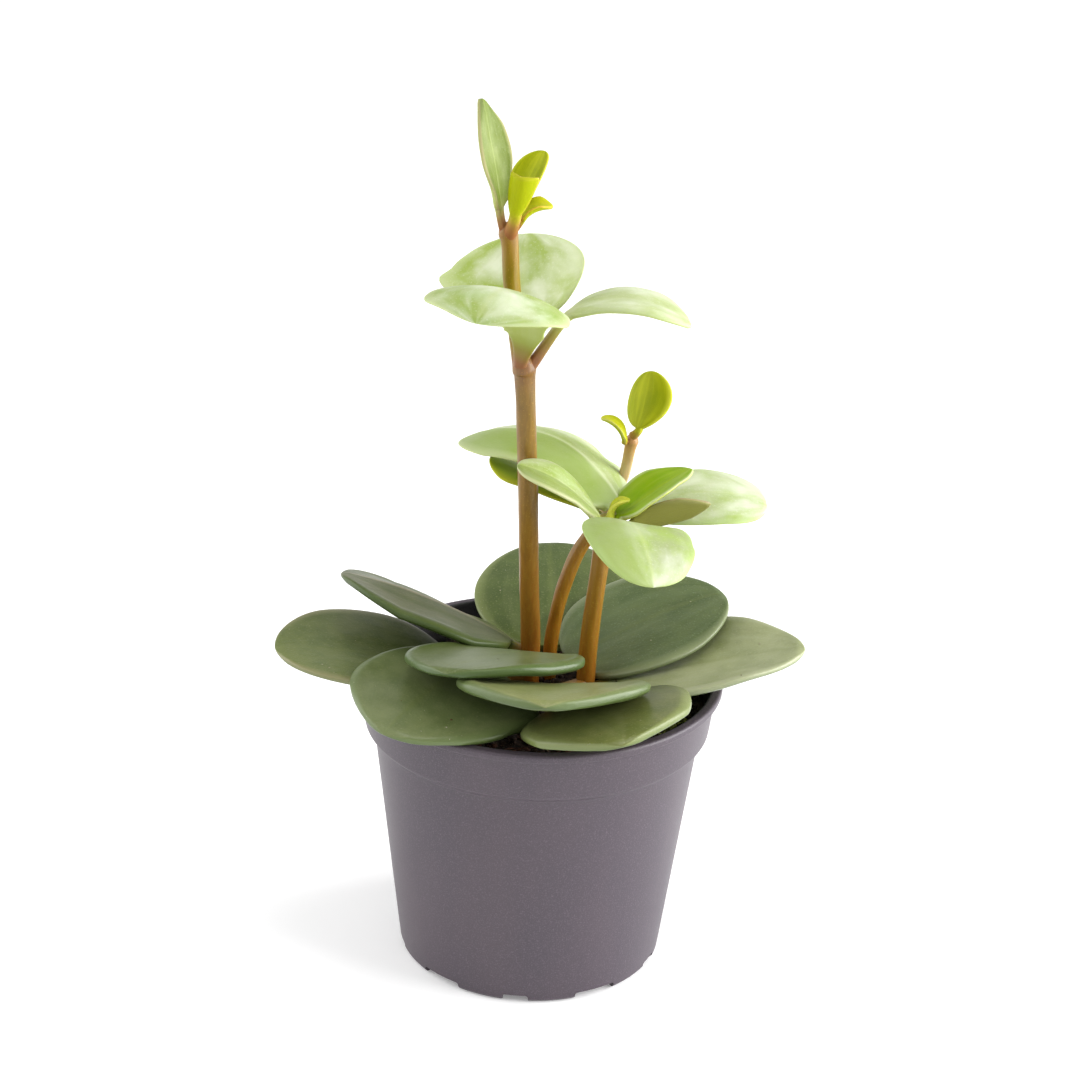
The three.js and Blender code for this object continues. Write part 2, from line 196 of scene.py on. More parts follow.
# %% Pot profile
INNER_FLOOR = 2.0
LIP_TOP = 49.4
POT_PROFILE = [  # radius, height, corner radius, all in mm
    (0, 0, 0), (6, 0, 0.3), (6.5, 0.8, 0.3), (18.6, 0.8, 0.3), (19, 0, 0.3), (21.2, 0, 0.35),
    (21.72, 0.6, 0.5), (26.35, 37.5, 0), (26.75, 39.9, 1.1), (28.1, 40.75, 1.0), (29, 47.8, 0.35),
    (29.98, 48.1, 0.35), (30, LIP_TOP, 0.5), (28.3, LIP_TOP, 0.4), (27.4, 41, 0.6), (25.9, 39.4, 0.8),
    (20.8, INNER_FLOOR, 0.4), (0, INNER_FLOOR, 0)]
POT_STEPS = 160
CORNER_STEPS = 5


def rounded(profile):
    """The profile's points with each corner drawn as an arc of its radius."""
    points = []
    for i, (radius, height, corner) in enumerate(profile):
        here = Vector((radius, height))
        if corner == 0 or i in (0, len(profile) - 1):
            points.append(here)
            continue
        back = (Vector(profile[i - 1][:2]) - here).normalized()
        on = (Vector(profile[i + 1][:2]) - here).normalized()
        half = back.angle(on) / 2
        reach = corner / math.tan(half)
        centre = here + (back + on).normalized() * (corner / math.sin(half))
        start, end = here + back * reach - centre, here + on * reach - centre
        for k in range(CORNER_STEPS + 1):
            points.append(centre + start.lerp(end, k / CORNER_STEPS).normalized() * corner)
    return points


def spun(profile, steps):
    """A bmesh made by spinning a profile of radii and heights once round the z axis."""
    bm = bmesh.new()
    line = [bm.verts.new((radius, 0, height)) for radius, height in profile]
    edges = [bm.edges.new(pair) for pair in zip(line, line[1:])]
    bmesh.ops.spin(bm, geom=line + edges, cent=(0, 0, 0), axis=(0, 0, 1), angle=math.tau, steps=steps,
                   use_merge=True, use_duplicate=False)
    bmesh.ops.remove_doubles(bm, verts=bm.verts, dist=0.0005)
    bmesh.ops.recalc_face_normals(bm, faces=bm.faces)
    return bm


pot_points = rounded(POT_PROFILE)
print("pot profile has", len(pot_points), "points")

# %% [markdown]
# The plastic is matt and a little uneven: recycled grey-mauve outside and charcoal inside. What the eye reads
# is a soft, wide sheen, faint cloudy flow marks round the wall and a very fine grain. Roughness about 0.5
# gives the sheen, wide noise the clouds, and noise at a quarter of a millimetre the grain.

# %% Moulded polypropylene
FLOW_MARK = 14 * MM
MOULD_GRAIN = 0.22 * MM


def moulded_polypropylene(name, base, cloud, grain, roughness):
    """Matt injection-moulded polypropylene with cloudy flow marks and a fine grain."""
    material, tree, shader = new_material(name, {"Roughness": roughness, "IOR": 1.49})
    place = add_node(tree, "TexCoord", output="Object")
    drawn_up = add_node(tree, "Mapping", {"Vector": place, "Scale": (1, 1, 0.35)})
    clouds = add_node(tree, "TexNoise", {"Vector": drawn_up, "Scale": 1 / FLOW_MARK, "Detail": 3.0})
    grains = add_node(tree, "TexNoise", {"Vector": place, "Scale": 1 / MOULD_GRAIN, "Detail": 2.0})
    colour = tint_where(tree, linear(base), clouds, 0.35, 0.65, cloud)
    colour = tint_where(tree, colour, grains, 0.5, 0.75, grain)
    tree.links.new(colour, shader.inputs["Base Color"])
    bump = add_node(tree, "Bump", {"Strength": 0.25, "Distance": 0.05 * MM, "Height": grains})
    tree.links.new(bump, shader.inputs["Normal"])
    return material


pot_outside = moulded_polypropylene("moulded_polypropylene_mauve", "463C44", "403841", "574C56", 0.44)
pot_inside = moulded_polypropylene("moulded_polypropylene_charcoal", "2B2A2C", "242325", "3A393B", 0.45)
print("pot plastics:", pot_outside.name, "and", pot_inside.name)

# %% [markdown]
# The foot ring has shallow notches that let water out, in pairs round the ring, and the floor has five small
# drain holes. A Boolean modifier cuts them, since they break through round walls. Its result is made the
# pot's own mesh, so no cutter stays behind.

# %% Pot
FIFTH = 72  # degrees between the five holes and between the five pairs of notches
FIRST_PLACE = 31  # degrees
NOTCHES = [(FIRST_PLACE + FIFTH * k, 7.4) for k in range(5)] + [(-5 + FIFTH * k, 4.2) for k in range(5)]
NOTCH_LENGTH = 7.1
NOTCH_HEIGHT = 2.3
NOTCH_MIDDLE = (20.15, 0, 0.1)
NOTCH_CORNER = 0.45
DRAIN_CIRCLE = 13
DRAIN_RADIUS = 2
FLOOR_MIDDLE = 1.4
LIP_INSIDE = 28.75  # from this radius outwards the lip has the outer finish


def pot_body():
    """The spun pot, with its inner faces given the second material."""
    bm = spun(pot_points, POT_STEPS)
    for face in bm.faces:
        middle = face.calc_center_median()
        inward = middle.z > INNER_FLOOR - 0.5 and face.normal.xy.dot(middle.xy) <= 0
        on_floor = abs(middle.z - INNER_FLOOR) < 0.1
        on_lip = middle.z > LIP_TOP - 0.05 and middle.xy.length > LIP_INSIDE
        face.material_index = int((inward or on_floor) and not on_lip)
    return bm


def pot_cutters():
    """Boxes for the notches and cylinders for the drain holes, in one bmesh."""
    bm = bmesh.new()
    for degrees, width in NOTCHES:
        turn = Matrix.Rotation(math.radians(degrees - 90), 4, "Z")
        size = Matrix.Diagonal((NOTCH_LENGTH, width, NOTCH_HEIGHT, 1))
        shape = turn @ Matrix.Translation(NOTCH_MIDDLE) @ size
        made = bmesh.ops.create_cube(bm, size=1, matrix=shape)["verts"]
        upper = {e for v in made for e in v.link_edges if all(u.co.z > 0.5 for u in e.verts)}
        along = [e for e in upper if abs(e.calc_length() - NOTCH_LENGTH) < 0.1]
        bmesh.ops.bevel(bm, geom=along, offset=NOTCH_CORNER, affect="EDGES", segments=4, profile=0.5,
                        material=-1)
    for k in range(5):
        angle = math.radians(FIRST_PLACE + FIFTH * k - 90)
        centre = (DRAIN_CIRCLE * math.cos(angle), DRAIN_CIRCLE * math.sin(angle), FLOOR_MIDDLE)
        bmesh.ops.create_cone(bm, cap_ends=True, segments=32, radius1=DRAIN_RADIUS, radius2=DRAIN_RADIUS,
                              depth=4, matrix=Matrix.Translation(centre))
    return bm


blank = as_object(pot_body(), "pot_blank")
cutter = as_object(pot_cutters(), "pot_cutter")
cut = blank.modifiers.new("cut", "BOOLEAN")
cut.operation, cut.solver, cut.object = "DIFFERENCE", "EXACT", cutter
bm = bmesh.new()
bm.from_object(blank, bpy.context.evaluated_depsgraph_get())
for helper in (blank, cutter):
    bpy.data.objects.remove(helper)
finish_piece(bm, "moulded_pot", [pot_outside, pot_inside], "pot", "pot", sharp=38)

# %% [markdown]
# Potting soil is peat and bark: a dark, crumbly surface with reddish fibres. Its body, the loose crumbs and
# the moss are real geometry, made in the next steps, and they share one kind of finish. It is dull and dark,
# with warm bark grains about a millimetre wide and specks of pale grit a third of that, both from noise.

# %% Soil material
BARK_GRAIN = 1.1 * MM
GRIT = 0.35 * MM


def peat(name, dark, warm, pale):
    """Moist peat: nearly black, with warm bark grains and a few pale mineral specks."""
    material, tree, shader = new_material(name, {"Roughness": 0.85, "IOR": 1.4})
    place = add_node(tree, "TexCoord", output="Object")
    grains = add_node(tree, "TexNoise", {"Vector": place, "Scale": 1 / BARK_GRAIN, "Detail": 4.0})
    grit = add_node(tree, "TexNoise", {"Vector": place, "Scale": 1 / GRIT, "Detail": 3.0})
    colour = tint_where(tree, linear(dark), grains, 0.42, 0.62, warm)
    colour = tint_where(tree, colour, grit, 0.62, 0.72, pale)
    tree.links.new(colour, shader.inputs["Base Color"])
    bump = add_node(tree, "Bump", {"Strength": 0.8, "Distance": 0.4 * MM, "Height": grains})
    tree.links.new(bump, shader.inputs["Normal"])
    return material


soil_peat = peat("moist_peat", "211913", "443225", "7A6854")
soil_bark = peat("bark_fibre", "3A2216", "5B3723", "7C5A40")
soil_moss = peat("damp_moss", "4B4F1C", "7C8230", "A5A85A")
print("soil materials:", soil_peat.name, soil_bark.name, soil_moss.name)

# %% [markdown]
# The body of the soil is spun like the pot, with a profile that stays a third of a millimetre off the pot's
# wall. Its top is a fan of rings close enough to hold small lumps, and each vertex there is lifted by layered
# noise: slow noise for the mounds, quicker noise for lumps and grit. At the front right the soil was banked
# up towards the rim. The height is a function, so crumbs can be set down on it.

# %% Soil body
SOIL_SIDE = [(0, 2.35), (20.4, 2.35), (25.5, 39.3), (26.95, 41.2), (27.3, 42.4), (27.35, 43.1)]
SOIL_TOP = 27.2  # radius of the outermost ring of the top
FLAT_TOP_Z = 43.8  # where the top is spun before each vertex is lifted
SOIL_REACH = 26.4  # the crumbs lie within this radius, where the mound of the soil ends
SOIL_RINGS = 34
SOIL_STEPS = 150
SOIL_EDGE_Z = 43.6
SOIL_CENTRE_Z = 44.8
SOIL_BANK = (21.5, -12.5)
BANK_HEIGHT = 2.7
BANK_SPREAD = 60  # square mm


def soil_height(x, y):
    """Height of the soil's crumbly top at a place."""
    reach = min(1, math.hypot(x, y) / SOIL_REACH)
    mound = SOIL_CENTRE_Z + (SOIL_EDGE_Z - SOIL_CENTRE_Z) * reach ** 2
    lumps = noise.noise(Vector((x, y, 3.7)) * 0.33) * 0.9 + noise.noise(Vector((x, y, 9.1)) * 0.9) * 0.75
    grit = noise.noise(Vector((x, y, 1.3)) * 2.1) * 0.35
    off_bank = (x - SOIL_BANK[0]) ** 2 + (y - SOIL_BANK[1]) ** 2
    return mound - 0.25 + (lumps + grit) * 0.75 + BANK_HEIGHT * math.exp(-off_bank / BANK_SPREAD)


soil_top = [(SOIL_TOP * (1 - k / SOIL_RINGS), FLAT_TOP_Z) for k in range(SOIL_RINGS + 1)]
bm = spun(SOIL_SIDE + soil_top, SOIL_STEPS)
for vert in bm.verts:
    if vert.co.z > FLAT_TOP_Z - 0.3:
        vert.co.z = soil_height(vert.co.x, vert.co.y)
finish_piece(bm, "peat_soil", [soil_peat], "soil", "soil")

# %% [markdown]
# Hundreds of crumbs, dozens of root fibres and five small cushions of moss lie on the soil. A crumb is an
# icosphere whose corners are pushed about. It has only twenty faces, since there are so many of them, and all
# the chance in them comes from one seeded random source, so that every run gives the same soil.

# %% Soil crumbs
soil_random = random.Random(11)


def soil_spot(rand, reach):
    """A random place on the soil's top."""
    radius, angle = reach * math.sqrt(rand.random()), rand.random() * math.tau
    x, y = radius * math.cos(angle), radius * math.sin(angle)
    return Vector((x, y, soil_height(x, y)))


def add_lump(bm, size, stretch, uneven, rand, material):
    """A stretched icosphere whose corners are pushed about. Returns its vertices."""
    made = bmesh.ops.create_icosphere(bm, subdivisions=1, radius=size / 2)["verts"]
    for vert in made:
        vert.co = Vector(a * b for a, b in zip(vert.co, stretch)) * rand.uniform(1 - uneven, 1 + uneven)
    for face in {f for v in made for f in v.link_faces}:
        face.material_index = material
    return made


def add_crumb(bm, place, size, rand, material):
    """One lumpy grain of soil, a little flattened and turned at random."""
    stretch = (rand.uniform(0.7, 1.4), rand.uniform(0.7, 1.2), rand.uniform(0.5, 0.9))
    made = add_lump(bm, size, stretch, 0.25, rand, material)
    spin = Matrix.Rotation(rand.random() * math.tau, 4, "Z")
    tilt = Matrix.Rotation(rand.uniform(-0.7, 0.7), 4, "X")
    bmesh.ops.transform(bm, matrix=Matrix.Translation(place) @ spin @ tilt, verts=made)


print("the soil is", round(soil_height(0, 0), 1), "mm high in the middle")

# %% [markdown]
# A root fibre is a small ring extruded along a wandering path. The operator returns the extruded ring in no
# order, so a helper puts it back in the order of the ring that it grew from, and the stems use that again.

# %% Root fibres
FIBRE_STEPS = 7
FIBRE_REACH = 26.5


def extrude_ring(bm, loop):
    """Extrudes a closed ring of vertices once and returns the new ring in the same order."""
    edges = [bm.edges.get(pair) for pair in zip(loop, loop[1:] + loop[:1])]
    grown = bmesh.ops.extrude_edge_only(bm, edges=edges)["geom"]
    fresh = {item for item in grown if isinstance(item, bmesh.types.BMVert)}
    return [next(v for e in vert.link_edges if (v := e.other_vert(vert)) in fresh) for vert in loop]


def close_ring(bm, loop):
    """Closes a ring of vertices with one face."""
    bmesh.ops.contextual_create(bm, geom=[bm.edges.get(pair) for pair in zip(loop, loop[1:] + loop[:1])])


def add_fibre(bm, place, rand, material):
    """One curled root fibre: a thin ring extruded along a wandering path."""
    length, radius = rand.uniform(3, 9), rand.uniform(0.09, 0.2)
    heading, curl = rand.random() * math.tau, rand.uniform(-0.5, 0.5)
    here = place.copy()
    first = loop = list(bmesh.ops.create_circle(bm, cap_ends=False, segments=5, radius=radius)["verts"])
    tilt = Matrix.Rotation(heading, 4, "Z") @ Matrix.Rotation(math.pi / 2, 4, "Y")
    bmesh.ops.transform(bm, matrix=Matrix.Translation(here) @ tilt, verts=loop)
    every = set(loop)
    for _ in range(FIBRE_STEPS):
        heading += curl + rand.uniform(-0.25, 0.25)
        to = here + Vector((math.cos(heading), math.sin(heading), 0)) * length / FIBRE_STEPS
        if to.xy.length > FIBRE_REACH:
            break
        to.z = max(to.z - 0.05, soil_height(to.x, to.y) + 0.1)
        loop = extrude_ring(bm, loop)
        bmesh.ops.translate(bm, vec=to - here, verts=loop)
        every.update(loop)
        here = to
    if loop is not first:
        close_ring(bm, loop)
    close_ring(bm, first)
    for face in {f for v in every for f in v.link_faces}:
        face.material_index = material


print("a fibre has up to", FIBRE_STEPS, "links")

# %% [markdown]
# Bmesh operators slow down as a mesh grows, so the loose soil is made in small batches that are joined. Each
# crumb gets a random source of its own before it is made, so its shape doesn't depend on the batches. Three
# cushions of moss grow near the rim at the front right, where they show between the leaves and the pot.

# %% Loose soil and moss
CRUMBS = 900
CRUMB_SIZES = (0.5, 1.9)  # mm
BARK_SHARE = 0.2
FIBRES = 70
MOSS_CRUMBS = 45
MOSS_SIZES = (0.4, 1.1)
MOSS_SPREAD = 1.1
MOSS_SPOTS = [SOIL_BANK, (23.0, -9.5), (19.0, -17.5), (-20, 12), (3, 22)]
RIM_CRUMB = Vector((-12.2, -26.4, LIP_TOP + 0.1))  # the one crumb that was left on the lip of the pot
BATCH = 60


def in_batches(jobs):
    """Runs modelling jobs in small bmeshes and joins those, which is far quicker than one large bmesh."""
    whole = bmesh.new()
    for start in range(0, len(jobs), BATCH):
        part = bmesh.new()
        for job in jobs[start:start + BATCH]:
            job(part)
        mesh = bpy.data.meshes.new("batch")
        part.to_mesh(mesh)
        part.free()
        whole.from_mesh(mesh)
        bpy.data.meshes.remove(mesh)
    return whole


def crumb_job(place, size, material):
    """A job that adds one crumb with its own random shape."""
    rand = random.Random(soil_random.random())
    return lambda bm: add_crumb(bm, place, size, rand, material)


jobs = []
for _ in range(CRUMBS):
    spot = soil_spot(soil_random, SOIL_REACH) + UP * 0.1
    size = soil_random.uniform(*CRUMB_SIZES) ** 1.15
    jobs.append(crumb_job(spot, size, int(soil_random.random() < BARK_SHARE)))
for centre in MOSS_SPOTS:
    for _ in range(MOSS_CRUMBS):
        x, y = (c + soil_random.gauss(0, MOSS_SPREAD) for c in centre)
        if math.hypot(x, y) < SOIL_REACH - 0.9:
            spot = Vector((x, y, soil_height(x, y) + 0.35))
            jobs.append(crumb_job(spot, soil_random.uniform(*MOSS_SIZES), 2))
for _ in range(FIBRES):
    place, rand = soil_spot(soil_random, 24) + UP * 0.3, random.Random(soil_random.random())
    jobs.append(lambda bm, place=place, rand=rand: add_fibre(bm, place, rand, 1))
jobs.append(crumb_job(RIM_CRUMB, 0.9, 0))
bm = in_batches(jobs)
bmesh.ops.recalc_face_normals(bm, faces=bm.faces)
finish_piece(bm, "soil_crumbs", [soil_peat, soil_bark, soil_moss], "soil")

# %% [markdown]
# A peperomia stem is fleshy and round, and thicker at the nodes where leaves start. Each stem is given by a
# few points with its radius there. The smooth curve through them is a spline that passes through every point
# that it is given, so the stem goes where it was seen to go, and the radius is smoothed along with the place.

# %% Stem paths
STEMS = {  # points from the soil upwards: x, y, z, radius in mm
    "stem_tall": [
        (-1.5, 5, 32.6, 1.6), (-1.5, 5, 46, 1.6), (-1.5, 4.8, 51, 1.6), (-2.1, 2.6, 64.3, 1.6),
        (-2.8, 0, 81, 1.6), (-3.8, -2, 99.5, 1.6), (-4, -2.3, 102.2, 1.9), (-4.9, -2.4, 105, 1.35),
        (-5.6, -2.7, 110, 1.3), (-6.4, -3, 116.5, 1.3), (-6.8, -3, 122.3, 1.35), (-7.1, -3, 124, 1.5),
        (-7.2, -3, 124.9, 1.3)],
    "stem_curved": [
        (1.7, 7.5, 32.6, 1.15), (1.7, 7.5, 46, 1.15), (1.8, 7.6, 50.5, 1.15), (2.5, 8, 55.8, 1.15),
        (3.6, 8.6, 60.8, 1.2), (5.4, 9.3, 66, 1.2), (7.6, 9.8, 69.8, 1.1), (9.8, 10, 73.2, 1),
        (12.4, 9.8, 79.7, 0.9), (13.3, 9.4, 85, 0.95), (13.5, 9.3, 86.4, 1.15), (13.6, 9.2, 87.2, 0.7)],
    "stem_front": [
        (7.6, -1, 32.6, 1.5), (7.6, -1, 46, 1.5), (7.7, -1, 51, 1.5), (8.2, -1, 59.5, 1.45),
        (9.1, -1, 69, 1.45), (9.5, -1, 73.5, 1.6), (9.6, -1, 76, 1.8), (9.6, -1, 77.2, 1.1)],
}
STEM_STEP = 0.5


def smooth_path(points, step):
    """Rows of place and radius about step apart, on a smooth curve through the given rows."""
    rows = [Vector(p) for p in points]
    rows = [rows[0] * 2 - rows[1]] + rows + [rows[-1] * 2 - rows[-2]]
    path = []
    for a, b, c, d in zip(rows, rows[1:], rows[2:], rows[3:]):
        count = max(2, math.ceil((c - b).length / step))
        for k in range(count):
            t = k / count
            path.append((b * 2 + (c - a) * t + (a * 2 - b * 5 + c * 4 - d) * t ** 2
                         + (b * 3 - a - c * 3 + d) * t ** 3) / 2)
    return path + [rows[-2]]


stem_paths = {name: smooth_path(points, STEM_STEP) for name, points in STEMS.items()}
print("stem rings:", {name: len(path) for name, path in stem_paths.items()})

# %% [markdown]
# The skin of the stem is waxy and slightly see-through, ochre brown with orange low down and olive near the
# young growth, and it reddens at the nodes. The colour follows the height, read from Object coordinates, and
# fine noise drawn out along the stem gives the fibres under the skin. A little subsurface light keeps it
# fleshy.

# %% Stem skin
SKIN_FIBRE = 0.55 * MM
SKIN_SPECK = 0.28 * MM
SKIN_LOW = 44  # the height in mm where the colours start
STEM_COLOURS = {  # the height where the colours end, and the colours by their heights, all in mm
    "stem_tall": (126, [
        (46, "8E5416"), (58, "8E601C"), (80, "7E5E1E"), (98, "765A24"), (101.5, "785630"), (103.5, "805838"),
        (106, "806A02"), (118, "826C00"), (122.5, "88660A"), (125, "8A6032")]),
    "stem_curved": (88, [
        (46, "84500A"), (58, "845A0A"), (69, "8E6618"), (73, "B8964E"), (77, "C9B080"), (82, "C6AE7E"),
        (85, "B8925E"), (87, "A87A4C")]),
    "stem_front": (78, [
        (46, "8A5212"), (58, "885E12"), (68, "88621A"), (74, "886424"), (75.5, "A08A40"), (77, "B0A860")]),
}


def stem_skin(name, top, colours):
    """Waxy stem skin whose colours follow the height, up to top in mm."""
    settings = {"Roughness": 0.36, "IOR": 1.42, "Subsurface Weight": 0.15, "Subsurface Scale": 0.6 * MM}
    material, tree, shader = new_material(name, settings)
    place = add_node(tree, "TexCoord", output="Object")
    height = add_node(tree, "SeparateXYZ", {0: place}, "Z")
    part = add_node(tree, "MapRange", {"Value": height, "From Min": SKIN_LOW * MM, "From Max": top * MM})
    stops = [((z - SKIN_LOW) / (top - SKIN_LOW), linear(colour)) for z, colour in colours]
    colour = add_node(tree, "ValToRGB", {"stops": stops, 0: part})
    drawn_up = add_node(tree, "Mapping", {"Vector": place, "Scale": (1, 1, 0.12)})
    fibres = add_node(tree, "TexNoise", {"Vector": drawn_up, "Scale": 1 / SKIN_FIBRE, "Detail": 3.0})
    specks = add_node(tree, "TexNoise", {"Vector": place, "Scale": 1 / SKIN_SPECK, "Detail": 1.0})
    colour = tint_where(tree, colour, fibres, 0.42, 0.75, "A07C2C", 0.25)
    colour = tint_where(tree, colour, fibres, 0.5, 0.3, "5E4210", 0.22)
    colour = tint_where(tree, colour, specks, 0.62, 0.75, "AC8838", 0.35)
    tree.links.new(colour, shader.inputs["Base Color"])
    bump = add_node(tree, "Bump", {"Strength": 0.35, "Distance": 0.12 * MM, "Height": fibres})
    tree.links.new(bump, shader.inputs["Normal"])
    return material


stem_skins = {}
for name, (top, colours) in STEM_COLOURS.items():
    stem_skins[name] = stem_skin(name.replace("stem", "waxy_stem_skin"), top, colours)
print("stem skins:", [material.name for material in stem_skins.values()])

# %% [markdown]
# A stem could be a curve with a round bevel, but then it is equally round everywhere, like a machined rod. A
# circle that is extruded ring by ring lets noise make each ring a little uneven. The end is closed with a low
# dome of three smaller rings.

# %% Stems
STEM_SIDES = 28
DOME = [(0.35, 0.86), (0.6, 0.55), (0.72, 0.2)]  # rise and radius of the end's rings, as parts of its radius
STEM_SEED_STEP = 31.7


def ring_frame(tangent, across):
    """The rotation whose z axis is the tangent and whose x axis lies close to across."""
    side = (across - tangent * across.dot(tangent)).normalized()
    return Matrix((side, tangent.cross(side), tangent)).transposed().to_4x4()


def domed(path):
    """The rings of a path, with the rings of a low dome after its end."""
    end = path[-1]
    rise = (end.xyz - path[-2].xyz).normalized()
    dome = [(end.xyz + rise * end.w * up).to_4d() for up, _ in DOME]
    for row, (_, part) in zip(dome, DOME):
        row.w = end.w * part
    return path + dome


def add_stem(rows, seed):
    """One stem: a circle extruded along rows of place and radius, and closed at both ends."""
    bm = bmesh.new()
    first = loop = list(bmesh.ops.create_circle(bm, cap_ends=False, segments=STEM_SIDES, radius=1)["verts"])
    for i, row in enumerate(rows):
        loop = extrude_ring(bm, loop) if i else loop
        tangent = (rows[min(len(rows) - 1, i + 1)].xyz - rows[max(0, i - 1)].xyz).normalized()
        turn = ring_frame(tangent, Vector((1, 0, 0)))
        for k, vert in enumerate(loop):
            angle = math.tau * k / STEM_SIDES
            out = Vector((math.cos(angle), math.sin(angle), 0))
            uneven = noise.noise(Vector((out.x * 1.3, out.y * 1.3, i * 0.09 + seed)))
            ribs = noise.noise(Vector((out.x * 4, out.y * 4, i * 0.03 + seed)))
            vert.co = row.xyz + turn @ (out * row.w * (1 + 0.05 * uneven + 0.02 * ribs))
    close_ring(bm, first)
    close_ring(bm, loop)
    bmesh.ops.recalc_face_normals(bm, faces=bm.faces)
    return bm


for count, (name, path) in enumerate(stem_paths.items()):
    bm = add_stem(domed(path), STEM_SEED_STEP * count)
    finish_piece(bm, "fleshy_" + name, [stem_skins[name]], "stem", name)

# %% [markdown]
# A peperomia leaf is a thick lens: it thins to a rounded margin, its petiole widens into it, and it bends as
# it goes. Each leaf is described by where its petiole leaves the stem, where the blade starts, and by angles
# and lengths that a gardener could measure. The same few numbers then place every ring of the surface, so one
# recipe makes a flat old leaf, an arching young one or a rolled new one.

# %% Leaf measurements
# An outline is two powers: how quickly the blade widens from its base, and how slowly it narrows to its tip.
ROUND = (0.48, 0.56)
WEDGE = (0.62, 0.55)
FUNNEL = (0.95, 0.55)
BLUNT = (0.62, 0.43)
SPOON = (0.62, 0.49)
CUT = (0.5, 0.06)
# foot and base of the petiole in mm; heading, lift, bend and roll in degrees; length and width in mm;
# hollow across the blade; thickness and half-width of the petiole in mm; outline
LEAVES = {
    "leaf_left": ((-3.7, 4, 46.8), (-12.7, 3.3, 46.3), 196, 22, 16, -4, 31.9, 27.6, 0.09, 1.7, 1, ROUND),
    "leaf_front_left": (
        (-3.1, 3.1, 48.6), (-10, -3.2, 51.7), 242, 9, 20, -9, 28.5, 26.5, -0.06, 2, 1.1, ROUND),
    "leaf_back_left": ((-3.6, 5.2, 50.2), (-5.2, 5.9, 51.3), 182, 31, 16, 13.5, 30, 24, 0.1, 1.7, 1, ROUND),
    "leaf_mid_left": ((-1.8, 2.3, 49.4), (-2, -3, 53.4), 243, 22, 11, 8, 28, 27, 0.03, 2, 0.9, ROUND),
    "leaf_front": ((5.8, -2, 47.6), (2, -11.2, 51.2), 268, 32, 21, 1, 28.5, 28.5, 0.06, 2.2, 1.2, ROUND),
    "leaf_front_right": (
        (7.8, -3.1, 46.3), (8.3, -10.3, 49.1), 280, 26, 26, 12, 28, 27, -0.06, 2, 1.1, ROUND),
    "leaf_back": ((1.8, 9, 47.4), (2, 12, 47.6), 92, 24, 18, -3, 28.5, 26, 0, 1.6, 1, ROUND),
    "leaf_back_right": ((4, 6.6, 46.8), (5, 5.6, 48.1), 22, 29, 22, 4, 29, 26.5, 0.02, 1.7, 1.1, ROUND),
    "leaf_right": ((9.9, -1, 46.6), (13, -0.1, 48), 355, 17, 3, -1, 30.9, 27, 0.14, 1.7, 1.1, ROUND),
    "tall_whorl_front": (
        (-4.8, -5, 103.9), (-4.1, -6, 109.3), 248, 78, 114, -3, 23.5, 22.6, -0.21, 1.2, 0.85, FUNNEL),
    "tall_whorl_back": (
        (-4.4, 0.8, 103.2), (-5.4, 1.3, 106.8), 85, 30, -24, -18, 18, 22.8, 0.29, 1.1, 1, WEDGE),
    "tall_whorl_right": (
        (-1.8, -2.4, 103.5), (3, -0.9, 110.9), 2, 31, 71, -3, 19.8, 15.5, 0, 1.2, 0.85, WEDGE),
    "tall_tip_blade": (
        (-8.5, -3.3, 125.6), (-8.6, -3.5, 128), 154, 78, 0, 5, 16.8, 7.5, 0.5, 0.9, 0.6, WEDGE),
    "tall_tip_roll": ((-6.5, -4, 125.7), (-6.1, -6, 128), 295, 80, 8, -42, 6.4, 4.9, 0.65, 0.9, 0.9, CUT),
    "tall_tip_back": ((-6.3, -2.2, 125.4), (-5.8, -0.9, 127.6), 46, 61, 11, 0, 9.5, 6, 0.4, 0.9, 0.6, WEDGE),
    "tall_tip_small": ((-5.3, -3.1, 126), (-5.1, -3.6, 126.3), 2, 61, 70, 3, 5.5, 3.5, 0.28, 0.8, 0.5, WEDGE),
    "front_whorl_arch": (
        (10.7, 1, 76.6), (12.5, 3.7, 78.4), 147, 49, 85, 8, 32.6, 22, -0.08, 1.2, 0.9, FUNNEL),
    "front_whorl_dark": ((7.8, 1, 75.6), (7.4, 6, 75.7), 156, 25, 14, 20, 18.5, 15.5, -0.15, 1, 0.8, WEDGE),
    "front_whorl_narrow": (
        (8.4, -2.7, 77), (7.7, -5.9, 79.6), 178, 57, 50, -8, 15, 8.2, -0.1, 1, 0.8, FUNNEL),
    "front_whorl_droop": (
        (11, -3.6, 75.8), (12, -9.3, 79.3), 284, 35, 81, -15, 20.9, 18.3, -0.14, 1.2, 0.9, SPOON),
    "front_whorl_right": (
        (12.7, 0, 75.3), (13.2, 5.6, 75.3), 6, 28, 48, 11, 23.4, 15.3, -0.1, 1.2, 0.9, BLUNT),
    "front_whorl_bright": (
        (12.1, -1.6, 76.2), (11.9, -3.2, 78.3), 30, 30, 9, -14, 14.2, 11.5, 0.1, 0.9, 0.7, WEDGE),
    "front_whorl_olive": (
        (12.9, -3.1, 75.6), (13.4, -3.4, 76.9), 352, 27, 10, -50, 13.6, 7, 0, 1, 0.7, WEDGE),
    "front_whorl_bud": ((9.9, -2, 77), (10.4, -3.1, 78.2), 350, 95, 96, 0, 4.9, 2.2, 0.2, 0.9, 0.8, WEDGE),
    "curved_tip_round": (
        (14.1, 8.9, 87.8), (14.6, 8.6, 88.8), 70, 56, -4, -27, 9.6, 9.4, -0.2, 1, 0.6, WEDGE),
    "curved_tip_sickle": ((11.3, 8.9, 86.6), (12.3, 7.7, 87.2), 169, 80, 82, 0, 5.6, 3, 0.3, 0.8, 0.5, WEDGE),
}
FIELDS = ("foot", "base", "heading", "lift", "bend", "roll", "length", "width", "hollow", "thick", "petiole",
          "outline")
